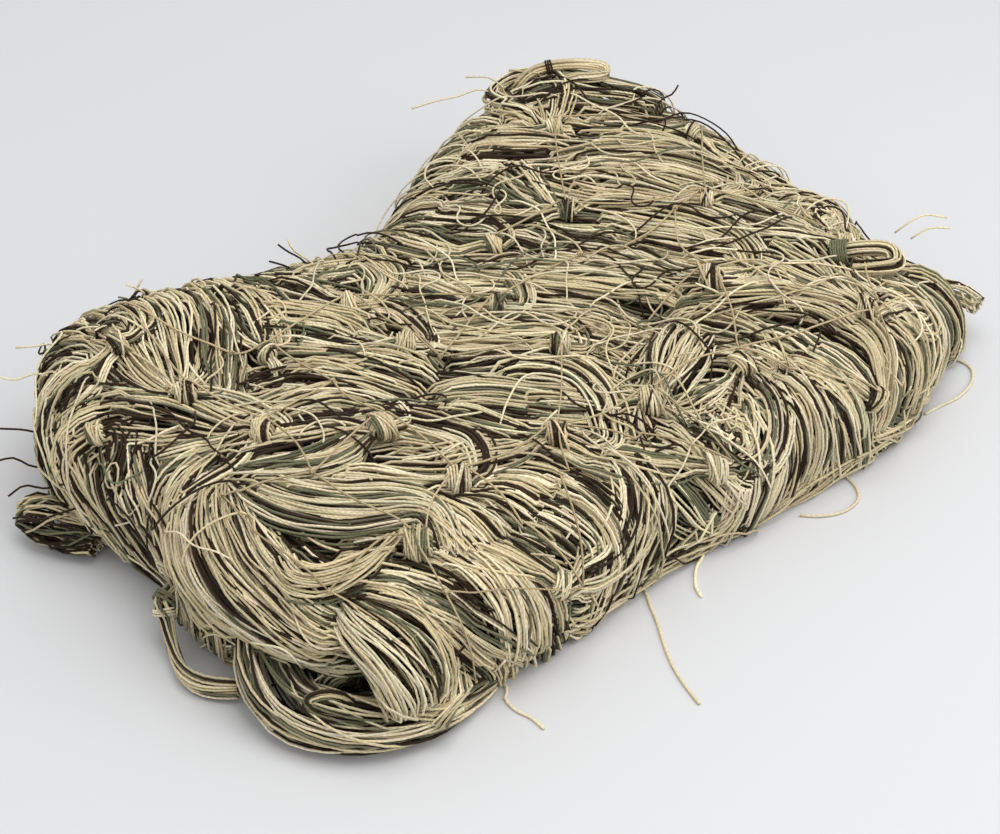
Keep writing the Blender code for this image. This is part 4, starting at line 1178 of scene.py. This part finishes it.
# Loops that stand up from the pack, in mm.
loops = {
    "lump_01": {"count": 16, "spread": 0.0029, "order": ("beige", "pale", "beige", "olive", "beige"),
                "rows": (
        (180, 168, 78), (188, 163, 88), (198, 154, 92.5), (209, 143, 93.5), (217, 134, 92),
        (217.5, 131, 88.5), (212, 134, 87.5), (203, 142, 87.5), (192, 150, 83))},
    "foot_roll": {"count": 12, "spread": 0.0024, "order": ("olive", "dark", "beige"), "rows": (
        (-186, -107, 14), (-198, -106, 19), (-208, -99, 22), (-214, -91, 25), (-213, -87, 29),
        (-206, -91, 31), (-199, -96, 28), (-196, -99, 23), (-193, -101, 18))},
    "right_loop_01": {"count": 22, "spread": 0.0042, "order": ("beige", "pale", "beige", "dark"), "rows": (
        (192, -62, 71), (199, -73, 75.5), (207, -83, 76.5), (208.5, -90, 75), (203, -95, 73.5),
        (194, -90, 73), (186, -80, 71))},
}


def standLoop(name, spec):
    line = smoothLine(mm(spec["rows"]))
    line = line[thinOut(line, 0.005)]
    along = unit(np.gradient(line, axis=0))
    side = unit(np.cross(along, skyward))
    up = np.cross(side, along)
    count = spec["count"]
    strands = Strands(count)
    strands.tones = inOrder(spec["order"], count)
    a = strands.disc * spec["spread"]
    sway = 0.0007 * np.sin(np.linspace(0, 1, len(line))[None] * 6 + rng.uniform(0, 6, (count, 1)))
    points = line[None] + side[None] * (a[:, :1] + sway)[..., None] + up[None] * (a[:, 1:] + sway)[..., None]
    keep(name + "_yarn", points, np.broadcast_to(up, points.shape).copy(), strands.tones)


for name, spec in loops.items():
    standLoop(name, spec)
bindSkein("lump_01", (196, 156, 91.5), (0.7, -0.7, 0.2), 3.7, 3, "dark")
bindSkein("right_loop_01", (192.5, -66, 72), (0.5, -0.8, 0.25), 6.8, 7, "olive")

# The net's twine, from knot to knot and over crossings of its own. Each run names what it passes.
twine = {
    "radius": 0.00056, "bow": 0.0025, "pulls": 40, "lift": 0.0006,
    "crossing": {"radius": 0.0011, "offsets": (-0.0005, 0, 0.0005), "lift": 0.0014},
    "crossings": {"A1": (-151, 81), "A2": (-110, 85), "B0": (-180, 2), "B1": (-143, -17), "B2": (-88, 31),
        "B3": (-27, 17), "C0": (-181, -70), "C1": (-145, -75), "C2": (-90, -60), "D1": (-28, -70),
        "D2": (38, -17), "D3": (78, -29), "E1": (89, 28), "E2": (111, 18), "F1": (155, 20),
        "F2": (172, 17), "H1": (-141, -100), "H2": (-147, -138), "b4": (-140, -80)},
    "runs": ("a1 a3 b1", "a1 A2 a4 B2 b1", "B2 b2", "b1 B1", "b2 B1 B0", "B1 b4", "b2 C2", "b4 C2",
        "b4 C0 B0", "a4 c1 B3", "c2 B3 d3", "B3 d2", "c1 d2", "b3 g1", "c3 b3", "d3 D2 D3 e2",
        "d2 E1 E2 F1 F2", "d1 e1 f3 f4", "f1 e1", "f1 f2 f3", "e2 F1", "c3 d4 e3", "e2 e3", "d3 c3",
        "d4 g2 c3", "e3 f5", "f4 f5 g3", "e3 g3", "C0 H2", "C1 H1 g1", "H1 H2", "g1 c3"),
}


def layTwine(spec):
    crossings = {**{name: tie["at"] for name, tie in ties.items()}, **spec["crossings"]}
    legs = [leg for run in spec["runs"] for leg in zip(run.split(), run.split()[1:])]
    for a, b in legs:
        ends = mm((crossings[a], crossings[b]))
        middle = ends.mean(0) + rng.normal(size=2) * spec["bow"]
        line = smoothLine([ends[0], middle, ends[1]], 0.004)
        height = pile.bed(line, 1, False) + spec["radius"]
        low = height.copy()
        for _ in range(spec["pulls"]):  # pulled taut over what is highest under it
            height[1:-1] = np.maximum(low[1:-1], (height[:-2] + height[2:]) / 2 - 0.00002)
        points, ups = pack.wrap(line[None], height[None] + spec["lift"])
        keep("net_twine", points, ups, tone("twine"), spec["radius"])
    own = spec["crossing"]
    for name, place in spec["crossings"].items():
        if name[0].islower():  # a knot moved for the twine alone
            continue
        p = mm([place])
        centre, up = pack.wrap(p, pile.bed(p, 1, False) + own["lift"])
        for offset in own["offsets"]:
            along = unit(np.array([*wayAt(rng.uniform(0, fullTurn)), 0.0]))
            ring = knotTurn(centre[0], along, up[0], own["radius"], offset, 0.3, 1.0, 8)
            keepRings("net_twine", [ring], tone("twine"), radius=spec["radius"])


layTwine(twine)

# Loose yarn on the top and the sides: curls by area, in mm on the plane, and short tufts.
loose = {
    "curls": (
        {"count": 120, "low": (-300, -260), "high": (340, 280), "bend": 8, "sway": 0.4,
         "length": (0.025, 0.080), "lift": 0.002},
        {"count": 190, "low": (-20, -80), "high": (250, 150), "bend": 15, "sway": 0.7,
         "length": (0.035, 0.095), "lift": 0.004},
        {"count": 34, "low": (-240, -20), "high": (-120, 200), "bend": 26, "sway": 0.8,
         "length": (0.030, 0.070), "lift": 0.004},
    ),
    "step": 0.0015, "dive": 0.0045, "clear": 0.0085, "curlRadius": 0.00057,
    "tufts": 110, "reach": (0.004, 0.013), "tuftRadius": 0.00058,
    "tones": ("pale", "beige", "dark", "olive"), "often": (0.45, 0.33, 0.15, 0.07),
}
knotPlaces = np.array([at for _, at, *_ in knots])


def strayTone():
    return tone(rng.choice(loose["tones"], p=loose["often"]))


def layCurl(seed, turn, length, bend, sway, lift, end):
    step, dive = loose["step"], loose["dive"]
    k = np.arange(max(8, int(length / step)))
    phase = rng.uniform(0, 6)
    angle = turn + bend * k * step + sway * np.sin(k * 0.17 + phase) + 0.13 * np.sin(k * 0.4 + phase * 2)
    line = seed + np.cumsum(np.stack([np.cos(angle), np.sin(angle)], 1) * step, 0)
    clear = np.linalg.norm(line[:, None] - knotPlaces[None], axis=-1).min()
    if pack.at(pack.beyond, line).max() > 0.085 or clear < loose["clear"]:
        return
    bed = pile.bed(line, 1, False) + yarn["radius"] * 0.8
    t = np.linspace(0, 1, len(line))
    height = soften(bed, 25, bed - 0.0010) + rng.uniform(0, lift) * np.sin(math.pi * t) ** 2
    height = height - dive * (1 - easeIn(t / 0.18)) - dive * end * (1 - easeIn((1 - t) / 0.18))
    at = everyOther(line)
    points, ups = pack.wrap(line[None, at], height[None, at])
    keep("loose_curls", offFloor(points), ups, strayTone(), loose["curlRadius"])


def layCurls(spec):
    cells = pack.low + np.argwhere(pack.beyond < 0.070) * pack.spec["cell"]
    for kind in spec["curls"]:
        area = cells[((cells > mm(kind["low"])) & (cells < mm(kind["high"]))).all(1)]
        for seed in area[rng.choice(len(area), kind["count"], replace=False)]:
            way = flow(seed, 0)
            turn = math.atan2(way[1], way[0]) + rng.normal() * 0.45
            end = float(rng.random() < 0.75)
            layCurl(seed, turn, rng.uniform(*kind["length"]), rng.normal() * kind["bend"],
                    rng.normal() * kind["sway"], kind["lift"], end)


def layTufts(spec):
    cells = np.argwhere(pack.beyond < 0.075)
    for index in rng.choice(len(cells), spec["tufts"], replace=False):
        seed = (pack.low + cells[index] * pack.spec["cell"])[None]
        base, up = pack.wrap(seed, pile.bed(seed, 1, False) - 0.002)
        reach = rng.uniform(*spec["reach"])
        lean = unit(np.cross(up[0], rng.normal(size=3)))
        t = np.linspace(0, 1, 5)[:, None]
        points = base + up * (t * reach * rng.uniform(0.25, 0.9)) + lean * (t**1.5 * reach)
        ups = np.broadcast_to(np.cross(lean, up[0]), points[None].shape).copy()
        keep("loose_ends", offFloor(points)[None], ups, strayTone(), spec["tuftRadius"])


layCurls(loose)
layTufts(loose)

# Single yarns of their own: places in mm on the unfolded plane, and height over the yarn there.
arcs = (
    ("dark", (84, -72, -2), (100, -81, 1), (120, -88, 3), (136, -92, 5), (132, -98, 4), (118, -101, 1),
     (108, -104, -2)),
    ("pale", (-48, -46, -2), (-34, -38, 6), (-16, -34, 10), (0, -46, 7), (-2, -62, 3), (-12, -80, -2)),
    ("dark", (196, 100, -2), (212, 92, 2), (228, 86, 4), (240, 74, 3), (243, 56, 1), (240, 40, -2)),
    ("dark", (214, 98, -2), (226, 94, 3), (240, 88, 5), (250, 72, 3), (248, 56, -2)),
    ("dark", (2, 112, -2), (6, 122, 4), (18, 126, 8), (30, 118, 5), (34, 104, -2)),
    ("dark", (-8, 112, -2), (0, 124, 5), (12, 130, 8), (24, 126, 4), (28, 112, -2)),
    ("pale", (86, 132, -2), (92, 142, 4), (102, 146, 7), (112, 140, 3), (116, 130, -2)),
    ("pale", (212, -22, -2), (220, -26, 5), (226, -36, 8), (220, -46, 4), (212, -50, -2)),
    ("dark", (206, -26, -2), (216, -32, 6), (220, -42, 9), (214, -52, 5), (206, -56, -2)),
    ("dark", (110, 20, -2), (122, 10, 3), (128, -6, 2), (140, -16, 4), (156, -22, -2)),
    ("dark", (60, 100, -2), (76, 92, 2), (92, 76, 3), (102, 58, 2), (104, 40, -2)),
    ("dark", (-190, 40, -2), (-196, 26, 4), (-188, 14, 6), (-176, 8, 3), (-166, 2, -2)),
    ("dark", (-150, 62, -2), (-158, 52, 3), (-170, 48, 5), (-176, 56, 3), (-172, 66, -2)),
)
# Yarn ends that stick out, in mm from inside the pack to the tip.
tips = (
    ("dark", (-190, 128, 50), (-196, 140, 52), (-202, 152, 50), (-212, 160, 51), (-219, 167, 49)),
    ("dark", (-196, 118, 44), (-204, 128, 40), (-209, 138, 43), (-215, 144, 41)),
    ("dark", (-196, 108, 36), (-206, 118, 33), (-214, 124, 36), (-223, 126, 33)),
    ("dark", (-200, 92, 34), (-210, 100, 30), (-220, 106, 28), (-226, 112, 30)),
    ("dark", (-204, 112, 24), (-212, 120, 22), (-219, 126, 19)),
    ("dark", (-206, 106, 20), (-216, 114, 24), (-224, 123, 21)),
    ("pale", (-150, 150, 70), (-160, 162, 76), (-170, 166, 78), (-176, 174, 76)),
    ("pale", (-168, 146, 66), (-176, 158, 68), (-184, 166, 64), (-188, 176, 63)),
    ("dark", (-14, 126, 66), (-18, 132, 74), (-24, 136, 80), (-27, 140, 84)),
    ("pale", (-10, 124, 66), (-15, 130, 73), (-20, 136, 79), (-20, 140, 84)),
    ("dark", (-20, 122, 66), (-26, 128, 72), (-31, 130, 77), (-37, 136, 80)),
    ("pale", (172, 172, 74), (164, 180, 80), (152, 186, 78), (140, 194, 76), (128, 200, 74)),
    ("pale", (178, 170, 76), (172, 178, 84), (165, 180, 88), (158, 186, 88)),
    ("pale", (240, -66, 62), (246, -72, 70), (254, -76, 72), (262, -84, 70)),
    ("pale", (244, -74, 60), (252, -80, 66), (260, -88, 66)),
    ("dark", (222, 96, 70), (230, 100, 78), (236, 96, 82), (243, 98, 84)),
)


def layArcs():
    for shade, *rows in arcs:
        line = smoothLine(mm(rows), 0.002)
        bed = soften(pile.bed(line[:, :2], 1, False), 20)
        at = everyOther(line)
        points, ups = pack.wrap(line[None, at, :2], (bed + line[:, 2])[None, at])
        keep("loose_curls", points, ups, tone(shade), 0.00060)
    for shade, *rows in tips:
        line = smoothLine(mm(rows), 0.004)
        keep("loose_ends", line[None], np.broadcast_to(skyward, line[None].shape), tone(shade), 0.00055)


layArcs()

# Threads lying on the surface: routes in mm from where each leaves the net.
threads = {
    "loose_thread_1": ((-18, -114.5), (-22.5, -125), (-28.5, -134), (-35, -144.5), (-45, -158.5),
        (-52.5, -170.5), (-58.5, -183.5), (-63.5, -198)),
    "loose_thread_2": ((-115.5, -108.5), (-118.5, -119), (-121.5, -126.5), (-126.5, -130), (-128.5, -139),
        (-127, -148), (-128, -157.5)),
    "loose_thread_3": ((25, -114.5), (22.5, -121.5), (18.5, -127), (10.5, -130), (3.5, -135), (-2.5, -141),
        (-5.5, -147.5)),
    "loose_thread_4": ((118.5, -124), (119, -133.5), (117.5, -142.5), (113.5, -150), (106.5, -155),
        (95.5, -155), (85, -149.5), (77.5, -141)),
    "loose_thread_5": ((238, -109.3), (241.5, -118), (239.5, -127), (229, -134.5), (214.5, -137),
        (201.5, -135), (190, -133.5)),
}
threadSize = 0.0016


def layThread(name, route, material):
    line = smoothLine(mm(route), 0.0035)
    points = np.c_[line, np.full(len(line), threadSize / 2 + 0.0001)]
    ups = np.broadcast_to(skyward, points[None].shape)
    radii = np.full((1, len(points)), threadSize / 2)
    piece = buildPiece(name + "_yarn", [(points[None], ups, tone("pale"), radii, False, None)], material, 8)
    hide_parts(name)


for name, route in threads.items():
    layThread(name, route, yarnFinish)

# A dark sheet in the net's place, folded back and forth in layers: its dark tone is painted shade, the deep
# shadow seen through the gaps between the yarns.
# tone: painted shade, the dark of the deep gaps in the yarn, on the sheet under it
net = {"layers": 5, "past": 0.012, "inset": 0.017, "low": 0.007, "under": 0.012, "stations": 44,
       "across": 16, "turn": 6, "thick": 0.0012, "sag": 0.0015, "flat": (0.46, 1.40),
       "tone": (0.06, 0.044, 0.028, 1)}


def foldRow(spec, k, x):  # one section across the folds
    inside = np.flatnonzero(pack.top[np.argmin(abs(pack.xs - x))] > 0.02)
    front, back = pack.ys[inside[0]] + spec["inset"], pack.ys[inside[-1]] - spec["inset"]
    ease = math.sin(math.pi * min(k, spec["stations"] - 1 - k, 6) / 12)
    middle, share = (front + back) / 2, 0.9 + 0.1 * ease
    ys = np.linspace(middle + (front - middle) * share, middle + (back - middle) * share, spec["across"])
    xs = np.full(len(ys), x)
    top = pack.topAt(np.stack([xs, ys], 1)) - spec["under"]
    top = np.maximum(top - 0.006 * (1 - ease), 0.02)
    row = []
    for layer in range(spec["layers"]):
        z = spec["low"] + (top - spec["low"]) * (layer / (spec["layers"] - 1))
        line = np.stack([xs, ys, z + spec["sag"] * np.sin(ys / 0.021 + x / 0.03 + layer)], 1)
        outward = 1 if layer % 2 else -1
        line = line[::-outward]
        if row:
            _, y, z = row[-1]
            gap = (line[0, 2] - z) / 2
            for t in np.linspace(0, math.pi, spec["turn"] + 2)[1:-1]:
                row.append(np.array([x, y + outward * gap * math.sin(t), z + gap * (1 - math.cos(t))]))
        row.extend(line)
    return row


def foldNet(spec):
    xs = np.linspace(pack.ring[:, 0].min() - spec["past"], pack.ring[:, 0].max() + spec["past"],
                     spec["stations"])
    grid = np.array([foldRow(spec, k, x) for k, x in enumerate(xs)])
    n, m = grid.shape[:2]
    quads = [(i * m + j, i * m + j + 1, (i + 1) * m + j + 1, (i + 1) * m + j)
             for i in range(n - 1) for j in range(m - 1)]
    mesh = bpy.data.meshes.new("netSheet")
    mesh.from_pydata(grid.reshape(-1, 3).tolist(), [], quads)
    # the sheet's dark colour is painted shade for the gaps between the yarns
    mesh.materials.append(finish("netPaintedShade", {"Base Color": spec["tone"], "Roughness": 0.9})[0])
    sheet = addObject("netSheet", mesh)
    sheet.modifiers.new("thick", "SOLIDIFY").thickness = spec["thick"]
    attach(sheet, "root")
    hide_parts("folded_net")
    legs = np.linalg.norm(np.diff(grid, axis=1), axis=2).sum(1)
    print("net sheet, across its folds", legs.mean(), "along", xs[-1] - xs[0])


foldNet(net)

for name, bundles in sorted(parts.items()):
    piece = buildPiece(name, bundles, twineFinish if name == "net_twine" else yarnFinish)
    if name.endswith("_yarn") and name[:-5] in frame["nodes"]:
        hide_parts(name[:-5])
for spec in ties.values():
    if "also" in spec:
        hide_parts(spec["also"])
total = sum(len(o.data.polygons) * 2 for o in bpy.data.objects if o.type == "MESH" and "yarn" in o.name)
print("triangles of yarn", total)

room = {
    "floor": (0.60, 0.61, 0.63, 1), "size": 6.0, "air": (0.83, 0.825, 0.82, 1), "airStrength": 0.90,
    "lights": (  # place, target, size, power, colour
        ("key", (0.05, -0.3, 1.6), (0, 0, 0), 1.3, 14.8, (1, 0.985, 0.96)),
        ("side", (0.7, -1.3, 1.0), (0, 0, 0), 1.2, 7.8, (1, 1, 1)),
        ("left", (-1.5, -0.6, 1.3), (-0.3, -0.3, 0), 1.2, 2, (1, 1, 1)),
    ),
}


def fitRoom(spec):
    mesh = bpy.data.meshes.new("floor")
    h = spec["size"] / 2
    mesh.from_pydata([(-h, -h, 0), (h, -h, 0), (h, h, 0), (-h, h, 0)], [], [(0, 1, 2, 3)])
    mesh.materials.append(finish("floor", {"Base Color": spec["floor"], "Roughness": 0.55})[0])
    addObject("floor", mesh)
    for name, place, target, size, power, colour in spec["lights"]:
        data = bpy.data.lights.new(name, "AREA")
        data.shape, data.size, data.energy, data.color = "DISK", size, power, colour
        aim(addObject(name, data), place, target)
    world = bpy.data.worlds.new("room")
    world.use_nodes = True
    world.node_tree.nodes["Background"].inputs["Color"].default_value = spec["air"]
    world.node_tree.nodes["Background"].inputs["Strength"].default_value = spec["airStrength"]
    bpy.context.scene.world = world
    bpy.context.scene.view_settings.view_transform = "Standard"


fitRoom(room)
